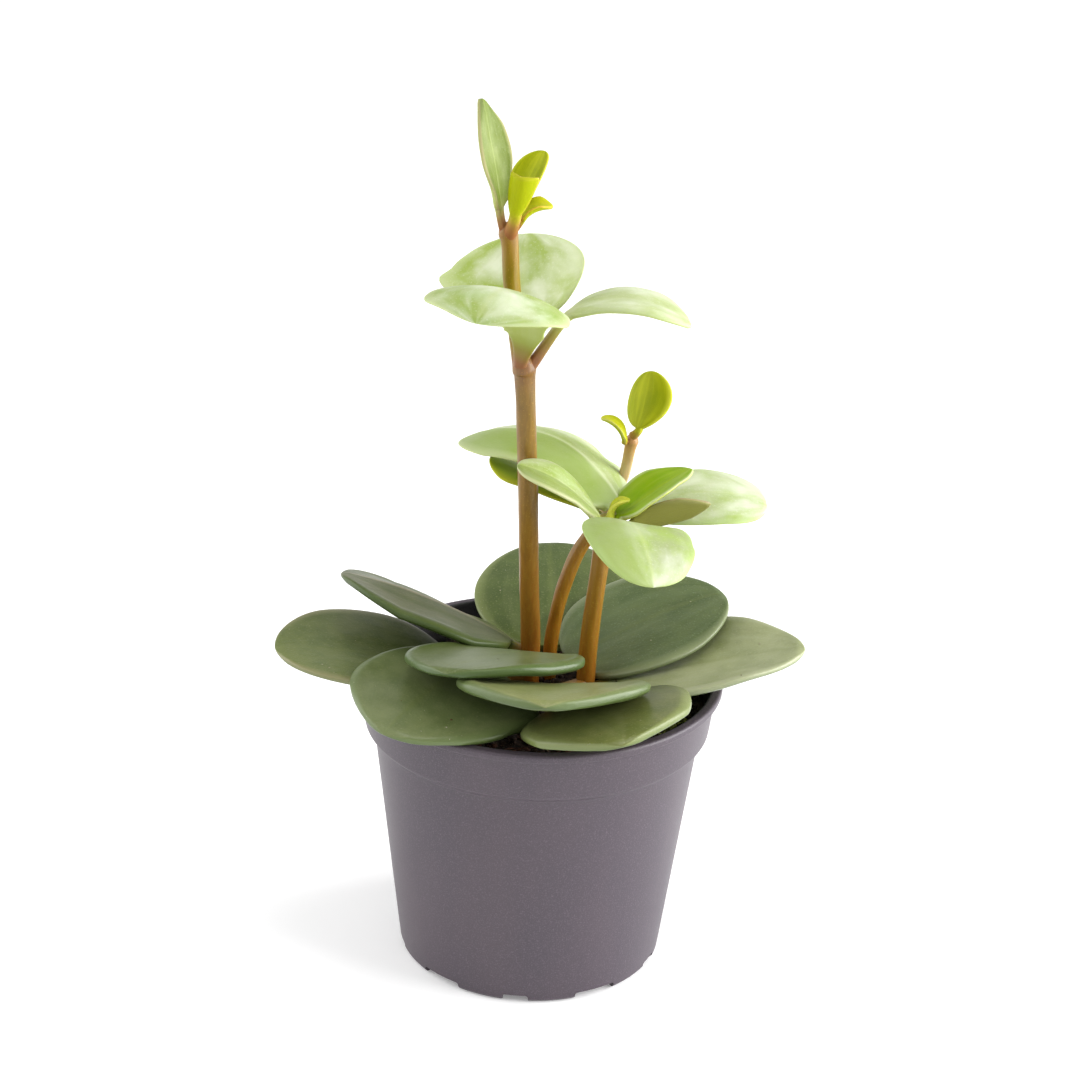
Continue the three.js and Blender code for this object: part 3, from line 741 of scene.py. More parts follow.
leaves = {name: dict(zip(FIELDS, row)) for name, row in LEAVES.items()}
print(len(leaves), "leaves, longest blade", max(leaf["length"] for leaf in leaves.values()), "mm")

# %% [markdown]
# A leaf is looked at from close by, so each one also has its own small habits: a fold along the midrib, a
# groove, a wavy or a thickened margin. They are written as small additions to the plain recipe, so the leaf
# keeps its place.

# %% Leaf habits
HABITS = {
    # groove: depth in mm; fold: slope away from the midrib; wave: height in mm and count; rim: extra
    # thickness; point: how pointed the tip is; square: how full the edges are; pull: how far the base draws
    # in to the stem; sunk: how deep in the stem the petiole starts, in mm; flare: the half-width in mm that
    # the petiole widens to; left and right: the width of that side, and left_up: the lift of the left margin
    # in mm, each as (part of the blade, value)
    "leaf_left": {"groove": 0.25, "wave": (0.3, 1.3), "rim": 0.1, "square": 0.55},
    "leaf_front_left": {"groove": 0.2, "wave": (0.35, 1.1), "rim": 0.4, "square": 0.55, "point": 0.14,
                        "left": ((0, 1.3), (0.2, 1.4), (0.55, 1.14), (0.85, 1.1), (1, 1.25))},
    "leaf_back_left": {"groove": -0.25, "fold": -0.22, "wave": (0.3, 1.0), "rim": 0.4, "square": 0.55,
                       "left": ((0.6, 1.0), (0.9, 1.15))},
    "leaf_mid_left": {"groove": 0.2, "wave": (0.4, 1.2), "rim": 0.4, "square": 0.5, "point": 0.1,
                      "left": ((0, 1.2), (0.3, 1.1), (0.6, 1.0)),
                      "right": ((0, 0.7), (0.25, 0.84), (0.6, 1.0))},
    "leaf_front": {"groove": 0.15, "wave": (0.15, 1.5), "rim": 0.4, "square": 0.5, "point": 0.28,
                   "left": ((0, 1.1), (0.5, 1.1), (0.8, 1.0))},
    "leaf_front_right": {"groove": 0.2, "wave": (0.3, 1.4), "rim": 0.4, "square": 0.5, "point": 0.24},
    "leaf_back": {"groove": 0.3, "wave": (0.2, 1.0), "rim": 0.1, "square": 0.6,
                  "right": ((0.3, 1.0), (0.6, 1.06), (0.9, 1.08))},
    "leaf_back_right": {"groove": 0.35, "wave": (0.3, 1.2), "rim": 0.1, "square": 0.55,
                        "left": ((0.1, 1.1), (0.5, 1.06), (0.9, 1.0))},
    "leaf_right": {"groove": 0.25, "wave": (0.4, 1.3), "rim": 0.18, "square": 0.55, "point": 0.08},
    "tall_whorl_front": {"wave": (0.25, 1.6), "point": 0.05, "sunk": 1.5, "flare": 3.4,
                         "right": ((0.3, 1.0), (0.6, 1.0), (0.8, 1.03), (1, 0.85))},
    "tall_whorl_back": {"groove": 0.1, "wave": (0.3, 1.4), "sunk": 1,
                        "left": ((0, 0.5), (0.12, 0.5), (0.35, 1.0), (0.52, 1.12), (0.66, 1.0), (0.8, 0.96)),
                        "right": ((0, 0.8), (0.2, 1.04), (0.6, 1.0))},
    "tall_whorl_right": {"groove": 0.15, "wave": (0.2, 1.0), "sunk": 1.5, "flare": 2.2,
                         "left": ((0.2, 1.0), (0.6, 1.15), (0.95, 1.4)), "right": ((0.2, 0.85), (1, 0.9))},
    "tall_tip_blade": {"rim": 0.1, "sunk": 2, "left_up": ((0.1, 0), (0.45, -1.3), (1, -0.5)),
                       "left": ((0, 1.5), (0.3, 0.9), (0.7, 0.6), (1, 0.3)),
                       "right": ((0, 1.5), (0.3, 1.0), (0.7, 0.95), (1, 0.7))},
    "tall_tip_roll": {"sunk": 2, "rim": 0.2, "right": ((0, 1.0), (1, 0.75))},
    "tall_tip_back": {"sunk": 2},
    "tall_tip_small": {"left": ((0, 1.3), (1, 1.4)), "right": ((0, 1.3), (1, 1.4)), "point": 0.3, "sunk": 2},
    "front_whorl_arch": {"groove": 0.45, "fold": -0.14, "wave": (0.25, 1.2), "pull": 0.9,
                         "left": ((0, 4.6), (0.12, 2.3), (0.3, 1.05)),
                         "right": ((0, 3.4), (0.12, 2.0), (0.3, 1.05), (0.6, 0.95), (0.84, 0.5), (1, 0.4))},
    "front_whorl_dark": {"left": ((0, 1.0), (0.4, 1.0), (0.75, 1.3)),
                         "right": ((0, 1.2), (0.5, 1.25), (1, 1.2))},
    "front_whorl_narrow": {"groove": 0.35, "fold": 0.1, "sunk": 1, "left": ((0, 1.5), (0.3, 1.0)),
                           "right": ((0, 1.5), (0.3, 1.0))},
    "front_whorl_droop": {"groove": 0.1, "wave": (0.2, 1.2),
                          "left_up": ((0.05, 0), (0.3, 2.1), (0.55, 1.1), (0.8, 0.3)),
                          "left": ((0.1, 1.0), (0.35, 1.06), (0.55, 0.98), (0.8, 0.94), (1, 1.0)),
                          "right": ((0.2, 1.0), (0.6, 0.94))},
    "front_whorl_right": {"groove": 0.1, "wave": (0.2, 1.2), "left": ((0.2, 1.0), (0.6, 1.13), (1, 1.1))},
    "front_whorl_bright": {"fold": 0.1, "groove": 0.2, "left": ((0, 1.5), (0.4, 1.15)),
                           "right": ((0, 1.5), (0.4, 1.25), (0.7, 1.05), (1, 0.75))},
    "front_whorl_olive": {"fold": 0.05, "point": 0.35},
    "front_whorl_bud": {"left": ((0, 1.4), (1, 1.2)), "right": ((0, 1.4), (1, 1.2)), "point": 0.3},
    "curved_tip_round": {"rim": 0.2},
}
PLAIN = {"fold": 0.0, "groove": 0.0, "wave": (0.0, 1.0), "rim": 0.0, "point": 0.0, "square": 0.7, "pull": 0.0,
         "sunk": 0.0, "flare": 0.0, "left": ((0, 1),), "right": ((0, 1),), "left_up": ((0, 0),)}
WAVE_SEED_STEP = 1.7
for count, (name, leaf) in enumerate(leaves.items()):
    leaf.update({**PLAIN, **HABITS.get(name, {}), "seed": WAVE_SEED_STEP * count})
print(len(HABITS), "leaves with habits of their own")

# %% [markdown]
# Each ring of a leaf needs a middle, a direction and half sizes. The petiole follows one cubic curve from the
# axis of the stem, where its end is hidden, to the base of the blade. The blade bends along an arc of a
# circle, and the two powers of its outline say how wide it is at each part of its length.

# %% Leaf paths
PETIOLE_DEPTH = 0.9  # the half depth of a petiole, for each millimetre of its half width
axis_points = [row.xyz for path in stem_paths.values() for row in path]


@functools.cache
def nearest_axis(x, y, z):
    """The closest place on the axis of any stem."""
    point = Vector((x, y, z))
    return min(axis_points, key=lambda place: (place - point).length)


def along_list(steps, part):
    """The value at part of a list of (part, value), eased from one step to the next."""
    if part <= steps[0][0]:
        return steps[0][1]
    for (from_part, low), (to_part, high) in zip(steps, steps[1:]):
        if part <= to_part:
            t = (part - from_part) / (to_part - from_part)
            return low + (high - low) * t * t * (3 - 2 * t)
    return steps[-1][1]


def leaf_start(leaf):
    """A leaf's level direction, its lift, the way from its foot to the axis, and its half depth there."""
    heading = math.radians(leaf["heading"])
    out = Vector((math.cos(heading), math.sin(heading), 0))
    inward = nearest_axis(*leaf["foot"]) - Vector(leaf["foot"])
    root = leaf["thick"] / 2 if leaf["flare"] else leaf["petiole"] * PETIOLE_DEPTH
    return out, math.radians(leaf["lift"]), inward, root


def petiole_station(leaf, u):
    """Middle, direction and half sizes of the petiole, from 0 inside the stem to 1 at the blade."""
    out, start, inward, root = leaf_start(leaf)
    tangent = out * math.cos(start) + UP * math.sin(start)
    foot, petiole, flare = Vector(leaf["foot"]), leaf["petiole"], leaf["flare"]
    a, d = nearest_axis(*leaf["foot"]) - UP * leaf["sunk"], Vector(leaf["base"]) + inward * leaf["pull"]
    c = d - tangent * ((foot - d).length * (0.25 if flare else 0.4))
    b = a.lerp(foot, 0.8).lerp(c, 0.2)
    middle = a * (1 - u) ** 3 + b * 3 * u * (1 - u) ** 2 + c * 3 * u ** 2 * (1 - u) + d * u ** 3
    onward = ((b - a) * (1 - u) ** 2 + (c - b) * 2 * u * (1 - u) + (d - c) * u ** 2).normalized()
    collar = 1 + 0.35 * (1 - u) ** 3
    wide = petiole + ((flare or petiole) - petiole) * u * u
    deep = petiole * PETIOLE_DEPTH + (root - petiole * PETIOLE_DEPTH) * u * u
    return middle, onward, wide * collar, deep * collar


def blade_station(leaf, part):
    """Middle, direction and half sizes of the blade, from 0 at its base to 1 at its tip."""
    out, start, inward, root = leaf_start(leaf)
    drop = math.radians(leaf["bend"]) or 1e-6
    slope = start - drop * part
    middle = (Vector(leaf["base"]) + out * (leaf["length"] * (math.sin(start) - math.sin(slope)) / drop)
              + UP * (leaf["length"] * (math.cos(slope) - math.cos(start)) / drop))
    middle += inward * leaf["pull"] * max(0.0, 1 - part / 0.5) ** 2
    rise, fall = leaf["outline"]
    peak = rise / (rise + fall)  # where the blade is widest
    shape = part ** rise * (1 - part) ** fall / (peak ** rise * (1 - peak) ** fall)
    shape *= min(1.0, (1.025 - part) / 0.32) ** leaf["point"]  # a pointed tip narrows over the last third
    wide = math.hypot(leaf["width"] / 2 * shape, (leaf["flare"] or leaf["petiole"]) * (1 - part))
    near = max(0.0, 1 - part / 0.25) ** 2
    deep = (leaf["thick"] / 2 + (root - leaf["thick"] / 2) * near) * (1 - 0.3 * part ** 4)
    deep *= min(1.0, (1 - part) / 0.04) ** 0.5  # the tip is rounded over its last 4%
    return middle, out * math.cos(slope) + UP * math.sin(slope), wide, deep


def leaf_station(leaf, part):
    """Middle, direction and half sizes of a leaf, from -1 inside the stem through 0 to 1 at the tip."""
    return petiole_station(leaf, 1 + part) if part < 0 else blade_station(leaf, part)


print("petioles can start at", len(axis_points), "places on the stems' axes")

# %% [markdown]
# A ring is an ellipse that is fuller at its margins. Its middle surface is then raised and lowered by the
# leaf's hollow and by its habits, which fade in at the base of the blade and out at its tip, so that both
# ends stay clean. Each point comes with where it lies in the leaf: across, along, and on which side.

# %% Leaf surface
RIM_AT = 0.9  # where a thickened margin is thickest, from 0 at the midrib to 1 at the edge
RIM_SPREAD = 0.09
GROOVE_SPREAD = 0.9  # mm to each side of the midrib


def leaf_axes(leaf, tangent):
    """The directions across a leaf and out of its face, rolled as the leaf is."""
    heading, roll = math.radians(leaf["heading"]), math.radians(leaf["roll"])
    flat = Vector((-math.sin(heading), math.cos(heading), 0))
    flat = (flat - tangent * flat.dot(tangent)).normalized()
    upright = tangent.cross(flat)
    return flat * math.cos(roll) + upright * math.sin(roll), upright * math.cos(roll) - flat * math.sin(roll)


def habit_share(part):
    """How much of its habits a leaf shows: they fade in at the base of the blade and out at its tip."""
    return min(1.0, max(0.0, part) * 4) * min(1.0, (1 - part) * 3)


def surface_lift(leaf, part, across, y):
    """How far the middle surface stands off a flat one, from its hollow, fold, waves and lifted margin."""
    z = leaf["hollow"] * y * y / (leaf["width"] / 2)
    if part <= 0:
        return z
    share = habit_share(part)
    height, count = leaf["wave"]
    turn = math.tau * count * part + (2.1 if across > 0 else 0.4) + leaf["seed"]
    z += leaf["fold"] * share * abs(y)
    z += height * share * across * across * math.sin(turn)
    if across > 0:
        z += along_list(leaf["left_up"], part) * across * across
    bumps = noise.noise(Vector((y * 0.16 + leaf["seed"], part * leaf["length"] * 0.16, 0.5)))
    return z + 0.12 * share * bumps


def ring_points(leaf, part, angles):
    """The points of one ring of the leaf's surface, each with where it lies: across, along and side."""
    middle, tangent, wide, deep = leaf_station(leaf, part)
    side, face = leaf_axes(leaf, tangent)
    share = habit_share(part)
    for angle in angles:
        c, h = math.cos(angle), math.sin(angle)
        across = math.copysign(abs(c) ** leaf["square"], c)
        widen = along_list(leaf["left" if c > 0 else "right"], max(0.0, part))
        y = across * wide * (1 + (widen - 1) * min(1.0, 1 + part) ** 2)
        rim = 1 + leaf["rim"] * share * math.exp(-((abs(across) - RIM_AT) / RIM_SPREAD) ** 2)
        z = deep * math.copysign(abs(h) ** leaf["square"], h) * rim + surface_lift(leaf, part, across, y)
        z -= leaf["groove"] * share * math.exp(-(y / GROOVE_SPREAD) ** 2) * (1 if h > 0 else 0.4)
        yield middle + side * y + face * z, (across, part, h)


print("leaf_left is", round(2 * leaf_station(leaves["leaf_left"], 0.5)[2], 1), "mm wide halfway")

# %% [markdown]
# The surface is made from one sphere. Its poles become the foot, hidden inside the stem, and the tip, and its
# rings become the rings of the petiole and the blade, so the leaf is closed everywhere and its quads run
# along the veins. Where each vertex lies in the leaf is kept as an attribute, for the material.

# %% Leaf mesh
LEAF_SIDES = 60
PETIOLE_RINGS = 16
BLADE_RINGS = 46


def grow_leaf(leaf):
    """One leaf as a bmesh: a sphere's rings moved to those of the leaf, which crowd together at its tip."""
    petiole = [-1 + k / PETIOLE_RINGS for k in range(PETIOLE_RINGS)]
    parts = petiole + [(1 - math.cos(math.pi * k / BLADE_RINGS)) / 2 for k in range(BLADE_RINGS + 1)]
    rings = len(parts) - 1
    bm = bmesh.new()
    mark = bm.verts.layers.float_vector.new("leaf")
    bmesh.ops.create_uvsphere(bm, u_segments=LEAF_SIDES, v_segments=rings, radius=1)
    loops = [[] for _ in parts]
    for vert in bm.verts:
        loops[round(math.acos(max(-1.0, min(1.0, vert.co.z))) / math.pi * rings)].append(vert)
    for part, loop in zip(parts, loops):
        if len(loop) == 1:
            loop[0].co, loop[0][mark] = leaf_station(leaf, part)[0], (0.0, part, 0.0)
            continue
        angles = [math.atan2(vert.co.y, vert.co.x) for vert in loop]
        for vert, (place, where) in zip(loop, ring_points(leaf, part, angles)):
            vert.co, vert[mark] = place, where
    bmesh.ops.recalc_face_normals(bm, faces=bm.faces)
    return bm


print("each leaf has", LEAF_SIDES, "columns and", PETIOLE_RINGS + BLADE_RINGS, "rings")

# %% [markdown]
# Leaf tissue is a waxy skin over wet green cells. The eye reads a base green, paler or darker streaks that
# run from the base to the tip with the veins, soft mottling, a lighter margin where the leaf is thin, an
# underside of its own colour, and a broad soft gloss that a faint quilting of the skin breaks up. On the old
# leaves at the front the margin and underside are darkened instead, their own green with painted shade on
# the lower rim. The streaks need the leaf's own directions, so they read the attribute kept with each vertex.
# Mottling and grain have one size all over the plant, so they read Object coordinates.

# %% Leaf material
MOTTLE = 5 * MM
LEAF_GRAIN = 0.32 * MM


def waxy_leaf(name, look):
    """Waxy leaf skin from a look: hex colours, streak counts across and along the leaf, and gloss."""
    settings = {"Roughness": look["rough"], "IOR": 1.45, "Specular IOR Level": look["shine"],
                "Subsurface Weight": look["glow"], "Subsurface Scale": 0.8 * MM,
                "Subsurface Radius": (0.7, 1.0, 0.35)}
    material, tree, shader = new_material(name, settings)
    place = add_node(tree, "TexCoord", output="Object")
    where = add_node(tree, "Attribute", {"attribute_name": "leaf"}, "Vector")
    across, along, side = (add_node(tree, "SeparateXYZ", {0: where}, axis) for axis in "XYZ")
    off_middle = add_node(tree, "Math", {"operation": "ABSOLUTE", 0: across})
    flat_place = add_node(tree, "VectorMath", {"operation": "MULTIPLY", 0: where, 1: (1, 1, 0)})
    streaks, breaks, seed = look["streaks"], look["breaks"], look["seed"]
    wide = add_node(tree, "Mapping", {
        "Vector": flat_place, "Location": (0, 0, seed), "Scale": (streaks, breaks, 1)})
    thin = add_node(tree, "Mapping", {
        "Vector": flat_place, "Location": (4, 0, seed), "Scale": (streaks * 4, breaks, 1)})
    broad_streak = add_node(tree, "TexNoise", {
        "Vector": wide, "Scale": 1.0, "Detail": 3.0, "Distortion": 0.4})
    fine_streak = add_node(tree, "TexNoise", {"Vector": thin, "Scale": 1.0, "Detail": 2.0})
    mottle = add_node(tree, "TexNoise", {
        "Vector": place, "Scale": 1 / MOTTLE, "Detail": 5.0, "Roughness": 0.62})
    grain = add_node(tree, "TexNoise", {"Vector": place, "Scale": 1 / LEAF_GRAIN, "Detail": 2.0})
    streak, streak_at, stalk_at = look["streak"], look["streak_at"], look["stalk_at"]
    tints = [  # pattern, where the tint starts, where it is full, tint, most of it
        (mottle, 0.4, 0.62, look["mottle"], 0.8),
        (broad_streak, streak_at, streak_at + look["blur"], streak, look["streak_most"]),
        (fine_streak, 0.54, 0.68, streak, look["fine_most"]),
        (grain, 0.58, 0.72, streak, look["grain_most"])]
    # A half tint colours one side of the midrib. On front_whorl_arch and front_whorl_narrow it is painted
    # shade on one half of the folded blade; on front_whorl_droop it is a greener half.
    if "half" in look:
        half, beside, most = look["half"]
        tints.append((across, 0.0, beside, half, most))
    tints += [
        # The rib tint: a paler midrib, which on leaf_back_left is a painted highlight along the ridge.
        (off_middle, 0.07, 0.01, look["rib"], look["rib_and_highlight_most"]),
        # The margin tint: a paler rim on young leaves. On the old front leaves it is a darker green that is
        # partly painted shade on the lower rim.
        (off_middle, 0.83, 1.0, look["margin_and_shade"], 0.85)]
    if "tip" in look:
        tints.append((along, 0.9, 0.98, look["tip"], 0.85))
    tints += [
        # The underside tint: the underside's own colour, darkened on the old front leaves as painted shade on
        # the lower rim.
        (side, 0.2, -0.3, look["underside_and_shade"], 0.9),
        # The stalk tint runs up into the blade. On leaf_front_left and leaf_front_right it reaches far and is
        # a painted shadow over the base of the blade.
        (along, stalk_at, stalk_at - 0.55, look["stalk"], 1.0),
        (along, -0.25, -0.75, look["foot"], 1.0)]
    colour = linear(look["top"])
    for pattern, low, high, tint, most in tints:
        colour = tint_where(tree, colour, pattern, low, high, tint, most)
    tree.links.new(colour, shader.inputs["Base Color"])
    relief = add_node(tree, "Math", {"operation": "ADD", 0: grain, 1: fine_streak})
    quilt = add_node(tree, "Bump", {"Strength": look["quilt"], "Distance": 0.5 * MM, "Height": mottle})
    bump = add_node(tree, "Bump", {"Strength": 0.3, "Distance": 0.08 * MM, "Height": relief, "Normal": quilt})
    tree.links.new(bump, shader.inputs["Normal"])
    return material


print("leaf mottling", MOTTLE / MM, "mm, grain", LEAF_GRAIN / MM, "mm")

# %% [markdown]
# Old leaves are olive with a cool bloom and hardly any streaks. Young ones are pale lime with milky streaks
# and glow when light comes through them. The newest at the tips are the brightest yellow-green, some with a
# coppery edge. Each leaf takes one of these three finishes and changes only what sets it apart.

# %% Leaf looks
# Colours: top, mottle, streak, rib, margin, underside, stalk, foot and, where a leaf has them, tip and half,
# which lies over one side of the blade. On a few leaves some of them are painted light and shade: the half
# of two folded young leaves is painted shade, the rib of leaf_back_left is a painted highlight, the dark
# margins and undersides of the old front leaves carry painted shade on their lower rims, the stalk colour of
# leaf_front_left and leaf_front_right is a painted shadow over the base of the blade, and the pale tops of
# leaf_front and leaf_right are lightened with a painted sheen. The stalk colour fades out at the part of the
# blade given with it. Names in _most are the amounts of a tint. streaks and breaks count the streaks across
# and along the blade, streak_at and blur set how broad and how soft they are, and quilt sets the relief of
# the skin.
MATURE = {"top": "5E6930", "mottle": "4E5D26", "streak": "82885A", "rib": "717B3C", "margin_and_shade": "808A52",
          "underside_and_shade": "56663A", "stalk": "767C35", "foot": "805A26", "streaks": 2.2, "breaks": 1.6,
          "streak_at": 0.45, "blur": 0.3, "streak_most": 0.3, "fine_most": 0.08, "grain_most": 0.5,
          "rib_and_highlight_most": 0.2, "rough": 0.33, "glow": 0.05, "shine": 0.5, "quilt": 0.3, "stalk_at": 0.12}
YOUNG = {"top": "A0AE62", "mottle": "95AB54", "streak": "DCE2CC", "rib": "BCC68C", "margin_and_shade": "B8C290",
         "underside_and_shade": "9FAA58", "stalk": "8E8E36", "foot": "845A3A", "streaks": 1.5, "breaks": 2.8,
         "streak_at": 0.38, "blur": 0.42, "streak_most": 0.85, "fine_most": 0.12, "grain_most": 0.25,
         "rib_and_highlight_most": 0.25, "rough": 0.4, "glow": 0.15, "shine": 0.3, "quilt": 0.3, "stalk_at": 0.12}
NEWEST = {"top": "A4AA08", "mottle": "929C06", "streak": "B8BC20", "rib": "B0B618", "margin_and_shade": "BEBE38",
          "underside_and_shade": "9EA60A", "stalk": "A8803E", "foot": "8C5A34", "streaks": 2.4, "breaks": 0.9,
          "streak_at": 0.4, "blur": 0.3, "streak_most": 0.5, "fine_most": 0.25, "grain_most": 0.1,
          "rib_and_highlight_most": 0.2, "rough": 0.42, "glow": 0.15, "shine": 0.08, "quilt": 0.2, "stalk_at": 0.1}
LOOKS = {
    "leaf_left": (MATURE, {"top": "646E36", "margin_and_shade": "8A8560"}),
    # leaf_front_left: its stalk tint over the base half of the blade is a painted shadow, and its dark margin
    # and underside are its own green darkened with painted shade on the lower rim.
    "leaf_front_left": (MATURE, {"top": "6E784E", "mottle": "5A673A", "margin_and_shade": "5A6A3A", "underside_and_shade": "4A5C2E",
                                 "stalk": "47542E", "stalk_at": 0.5}),
    # leaf_back_left: its rib tint is a painted highlight along the ridge, and its dark margin and underside
    # are its own green darkened with painted shade on the lower rim.
    "leaf_back_left": (MATURE, {"top": "525A2E", "mottle": "465024", "streak": "7A745A", "streak_most": 0.45,
                                "margin_and_shade": "4A5A30", "underside_and_shade": "3C4C24", "rib": "ACA08A", "rib_and_highlight_most": 0.6,
                                "shine": 0.3}),
    # leaf_mid_left: its dark margin and underside are its own green darkened with painted shade on the lower
    # rim.
    "leaf_mid_left": (MATURE, {"top": "5A6638", "streak": "848C64", "margin_and_shade": "4A5E30", "underside_and_shade": "3E5228"}),
    # leaf_front: its pale grey top and streaks are its olive lightened with a painted sheen, and its dark
    # margin and underside are its own green darkened with painted shade on the lower rim.
    "leaf_front": (MATURE, {"top": "7C8150", "mottle": "6C7442", "streak": "989B76", "margin_and_shade": "56683A",
                            "underside_and_shade": "44562A"}),
    # leaf_front_right: its stalk tint over the base half of the blade is a painted shadow cast by leaf_front,
    # and its dark underside is its own green darkened with painted shade on the lower rim.
    "leaf_front_right": (MATURE, {"top": "70753F", "mottle": "5C6531", "streak": "8E9266", "margin_and_shade": "78824E",
                                  "underside_and_shade": "586834", "stalk": "4C522E", "stalk_at": 0.62}),
    "leaf_back": (MATURE, {"top": "4C5A26", "mottle": "404F1E"}),
    "leaf_back_right": (MATURE, {"top": "536232", "mottle": "46582A", "streak": "7C8A62",
                                 "margin_and_shade": "8A9270"}),
    # leaf_right: its pale grey top, mottle and streaks are its olive lightened with a painted sheen.
    "leaf_right": (MATURE, {"top": "92986C", "mottle": "7E8656", "streak": "A6AA88", "margin_and_shade": "A0A484"}),
    "tall_whorl_front": (YOUNG, {"top": "98A85C", "mottle": "8CA44E", "stalk": "7E8426", "blur": 0.34}),
    "tall_whorl_back": (YOUNG, {"top": "9CAE58", "mottle": "92A64A", "streak": "DADFC8", "blur": 0.32}),
    "tall_whorl_right": (YOUNG, {"top": "B0BC84", "mottle": "A2B070", "margin_and_shade": "A4B07C"}),
    "tall_tip_blade": (YOUNG, {"top": "667628", "mottle": "5C6E20", "streak": "9CA674", "margin_and_shade": "B0A67C",
                               "shine": 0.12, "foot": "8C5634", "stalk": "A08456", "streak_most": 0.6}),
    "tall_tip_roll": (NEWEST, {"margin_and_shade": "D0904E", "tip": "D8A066"}),
    "tall_tip_back": (NEWEST, {"top": "949C08", "mottle": "829006"}),
    "tall_tip_small": (NEWEST, {"top": "C0BE20", "mottle": "B4B418", "margin_and_shade": "CC9C48"}),
    # front_whorl_arch: its half tint is painted shade on the half of the blade that folds down.
    "front_whorl_arch": (YOUNG, {"stalk": "AEBA7C", "foot": "A8A868", "half": ("8AA048", 0.12, 0.75),
                                 "rib": "D4DCB4", "rib_and_highlight_most": 0.45}),
    "front_whorl_dark": (NEWEST, {"top": "A6B832", "mottle": "96AC28", "streak": "A8B85C", "underside_and_shade": "98A23C",
                                  "stalk": "74801C"}),
    # front_whorl_narrow: its half tint is painted shade on one half of the folded blade.
    "front_whorl_narrow": (YOUNG, {"top": "929E5A", "streak_most": 0.4, "half": ("78883E", 0.15, 0.6),
                                   "margin_and_shade": "C4C49C"}),
    "front_whorl_droop": (YOUNG, {"top": "949F70", "streak": "CACDBE", "half": ("889A50", -0.4, 0.8),
                                  "margin_and_shade": "9CB06C"}),
    "front_whorl_right": (YOUNG, {"top": "A2AF74", "streak": "DCE0D0", "streak_at": 0.3, "margin_and_shade": "9CB06C"}),
    "front_whorl_bright": (NEWEST, {"top": "84A608", "mottle": "749A06", "streak": "A4B840",
                                    "margin_and_shade": "CCD4A8", "stalk": "8C9420"}),
    "front_whorl_olive": (MATURE, {"top": "7A7638", "mottle": "6C6A30", "underside_and_shade": "7E7E38",
                                   "margin_and_shade": "A09070"}),
    "front_whorl_bud": (NEWEST, {"top": "C4C840", "underside_and_shade": "B8C040", "margin_and_shade": "D8D468", "stalk": "B8C048",
                                 "foot": "A8B048"}),
    "curved_tip_round": (NEWEST, {"top": "929808", "mottle": "808C06", "stalk": "A8A038", "foot": "A07C44"}),
    "curved_tip_sickle": (NEWEST, {"top": "B4B424", "margin_and_shade": "C0BE70"}),
}
STREAK_SEED_STEP = 3.7
leaf_skins = {}
for count, (name, (family, changes)) in enumerate(LOOKS.items()):
    look = {**family, **changes, "seed": STREAK_SEED_STEP * count}
    leaf_skins[name] = waxy_leaf("waxy_skin_" + name, look)
print(len(leaf_skins), "leaf skins")

# %% [markdown]
# Now every leaf is grown from its own measurements and finished with its own skin. It takes the place of the
# solid of the same name, which stays in the model for collisions.

# %% Grow the leaves
slot_of = {part["node"]: part["material_slot"] for part in frame["record"]["subparts"]}
for name, leaf in leaves.items():
    finish_piece(grow_leaf(leaf), "grown_" + name, [leaf_skins[name]], slot_of[name], name)

# %% [markdown]
# A plant that has been watered and handled carries dust and splashed soil. Small flat grains lie on the
# leaves, a few of them where the eye meets them first and the rest scattered. Each grain is placed on the
# leaf's own surface, at a part of its length and an angle round its ring, so it follows every bend.

# %% Dust on the leaves
SPLASHES = {  # part of the blade, angle round the ring in degrees, size in mm, material: 0 pale, 1 bark
    "leaf_left": [(0.8, 66, 0.4, 0), (0.77, 60, 0.5, 0), (0.76, 44, 0.35, 0), (0.57, 94, 0.25, 0)],
    "leaf_front_left": [(0.7, 72, 0.5, 1), (0.77, 64, 0.4, 0), (0.73, 92, 0.25, 1)],
    "leaf_mid_left": [(0.9, 92, 0.35, 0), (0.62, 86, 0.35, 1)],
    "leaf_front_right": [(0.8, 80, 0.3, 0), (0.86, 98, 0.25, 1)],
    "leaf_front": [(0.82, 58, 0.3, 0)],
    "leaf_back_right": [(0.79, 90, 0.3, 0), (0.44, 106, 0.3, 0)],
    "leaf_back": [(0.47, 60, 0.35, 0)],
    "leaf_right": [(0.76, 84, 0.4, 0), (0.56, 86, 0.35, 0), (0.69, 146, 0.4, 1), (0.44, 90, 0.3, 0)],
}
DUST_PER_LEAF = 26
dust_random = random.Random(5)
leaf_dust = peat("pale_leaf_dust", "A8A68C", "8E8A6C", "C8C8B4")


def add_grain(bm, leaf, part, degrees, size, material):
    """One flat grain of dust lying on a leaf."""
    angle = math.radians(degrees)
    (here, _), (beside, _) = ring_points(leaf, part, [angle, angle + 0.05])
    (onward, _), = ring_points(leaf, min(part + 0.01, 0.99), [angle])
    normal = (onward - here).cross(beside - here).normalized()
    stretch = (dust_random.uniform(0.7, 1.2), dust_random.uniform(0.5, 1.0), 0.3)
    made = add_lump(bm, size, stretch, 0.2, dust_random, material)
    turn = normal.to_track_quat("Z", "Y").to_matrix().to_4x4()
    spin = Matrix.Rotation(dust_random.random() * math.tau, 4, "Z")
    bmesh.ops.transform(bm, matrix=Matrix.Translation(here) @ turn @ spin, verts=made)


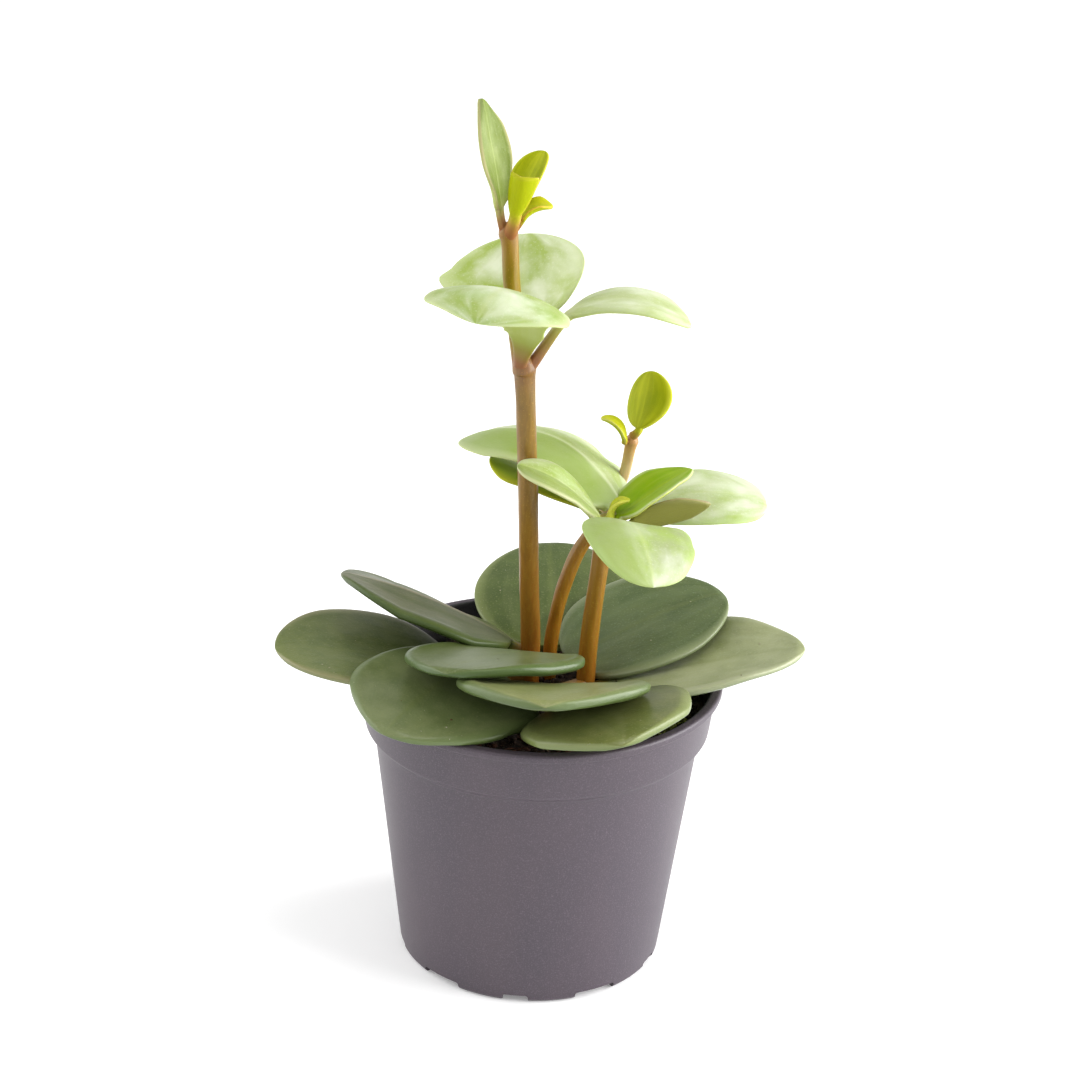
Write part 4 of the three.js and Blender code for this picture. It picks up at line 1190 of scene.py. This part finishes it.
jobs = []
for name, spots in SPLASHES.items():
    leaf = leaves[name]
    for spot in spots:
        jobs.append(lambda bm, leaf=leaf, spot=spot: add_grain(bm, leaf, *spot))
    for _ in range(DUST_PER_LEAF):
        part, degrees = dust_random.uniform(0.12, 0.95), dust_random.uniform(20, 160)
        spot = (part, degrees, dust_random.uniform(0.1, 0.22), 0)
        jobs.append(lambda bm, leaf=leaf, spot=spot: add_grain(bm, leaf, *spot))
bm = in_batches(jobs)
bmesh.ops.recalc_face_normals(bm, faces=bm.faces)
finish_piece(bm, "leaf_dust", [leaf_dust, soil_bark], "soil")

# %% [markdown]
# The floor stands for the white table of a product photographer, so wide that the camera sees no edge. Such a
# table is often lit from below, which keeps it white and leaves only the soft shadow close to the pot, so the
# floor also glows a little. It is marked as part of the stage, so it isn't counted as part of the plant.

# %% Floor
TABLE_REACH = 6  # metres from the middle to each edge
TABLE_GLOW = 0.18
bm = bmesh.new()
bmesh.ops.create_grid(bm, x_segments=1, y_segments=1, size=TABLE_REACH)
bmesh.ops.translate(bm, vec=(0, 0, -0.1 * MM), verts=bm.verts)
floor = as_object(bm, "table_top")
opal, _, _ = new_material("opal_acrylic_table", {
    "Roughness": 0.9, "Base Color": linear("F6F6F6"), "Emission Color": linear("FFFFFF"),
    "Emission Strength": TABLE_GLOW})
floor.data.materials.append(opal)
floor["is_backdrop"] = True
print("floor", round(floor.dimensions.x), "m wide")

# %% [markdown]
# A white room gives most of the light, and soft boxes shape it. A wide one stands on each side, the right one
# brighter, and draws the pale sheen down both sides of the pot. A small one hangs above and a weak one fills
# from the front: their reflections are the soft glints on the rounded shoulders of the thick leaves.

# %% Light
LIGHTS = {  # place and target in metres, size, power in watts
    "left": ((-0.7, 0.05, 0.35), (0, 0, 0.06), 0.8, 4.5),
    "right": ((0.65, -0.05, 0.2), (0, 0, 0.05), 0.7, 11.5),
    "front": ((-0.1, -0.5, 0.7), (0, 0, 0.06), 0.3, 0.4),
    "top": ((0.05, -0.05, 0.85), (0, 0, 0.08), 0.26, 1.1),
}
ROOM_LIGHT = 0.64
for name, (place, target, size, power) in LIGHTS.items():
    lamp = bpy.data.lights.new("softbox_" + name, "AREA")
    lamp.size, lamp.energy = size, power
    holder = bpy.data.objects.new("softbox_" + name, lamp)
    holder.location = place
    holder.rotation_mode = "QUATERNION"
    holder.rotation_quaternion = (Vector(target) - Vector(place)).to_track_quat("-Z", "Y")
    scene.collection.objects.link(holder)
room = bpy.data.worlds.new("white_studio")
room.use_nodes = True
background = room.node_tree.nodes["Background"]
background.inputs["Color"].default_value = linear("FFFFFF")
background.inputs["Strength"].default_value = ROOM_LIGHT
scene.world = room
scene.view_settings.view_transform = "Standard"
print("lights:", ", ".join(LIGHTS))

# %% [markdown]
# The last step measures the finished plant against the solids it was built on, because finishing a surface
# must not change the size of the real thing.

# %% Measure and finish
low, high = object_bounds()
growth = [round(grown / MM, 2) for grown in (high - low) - (cad_high - cad_low)]
print("the box grows by", growth, "mm, so a minus means that the plant stays inside its solids' box")
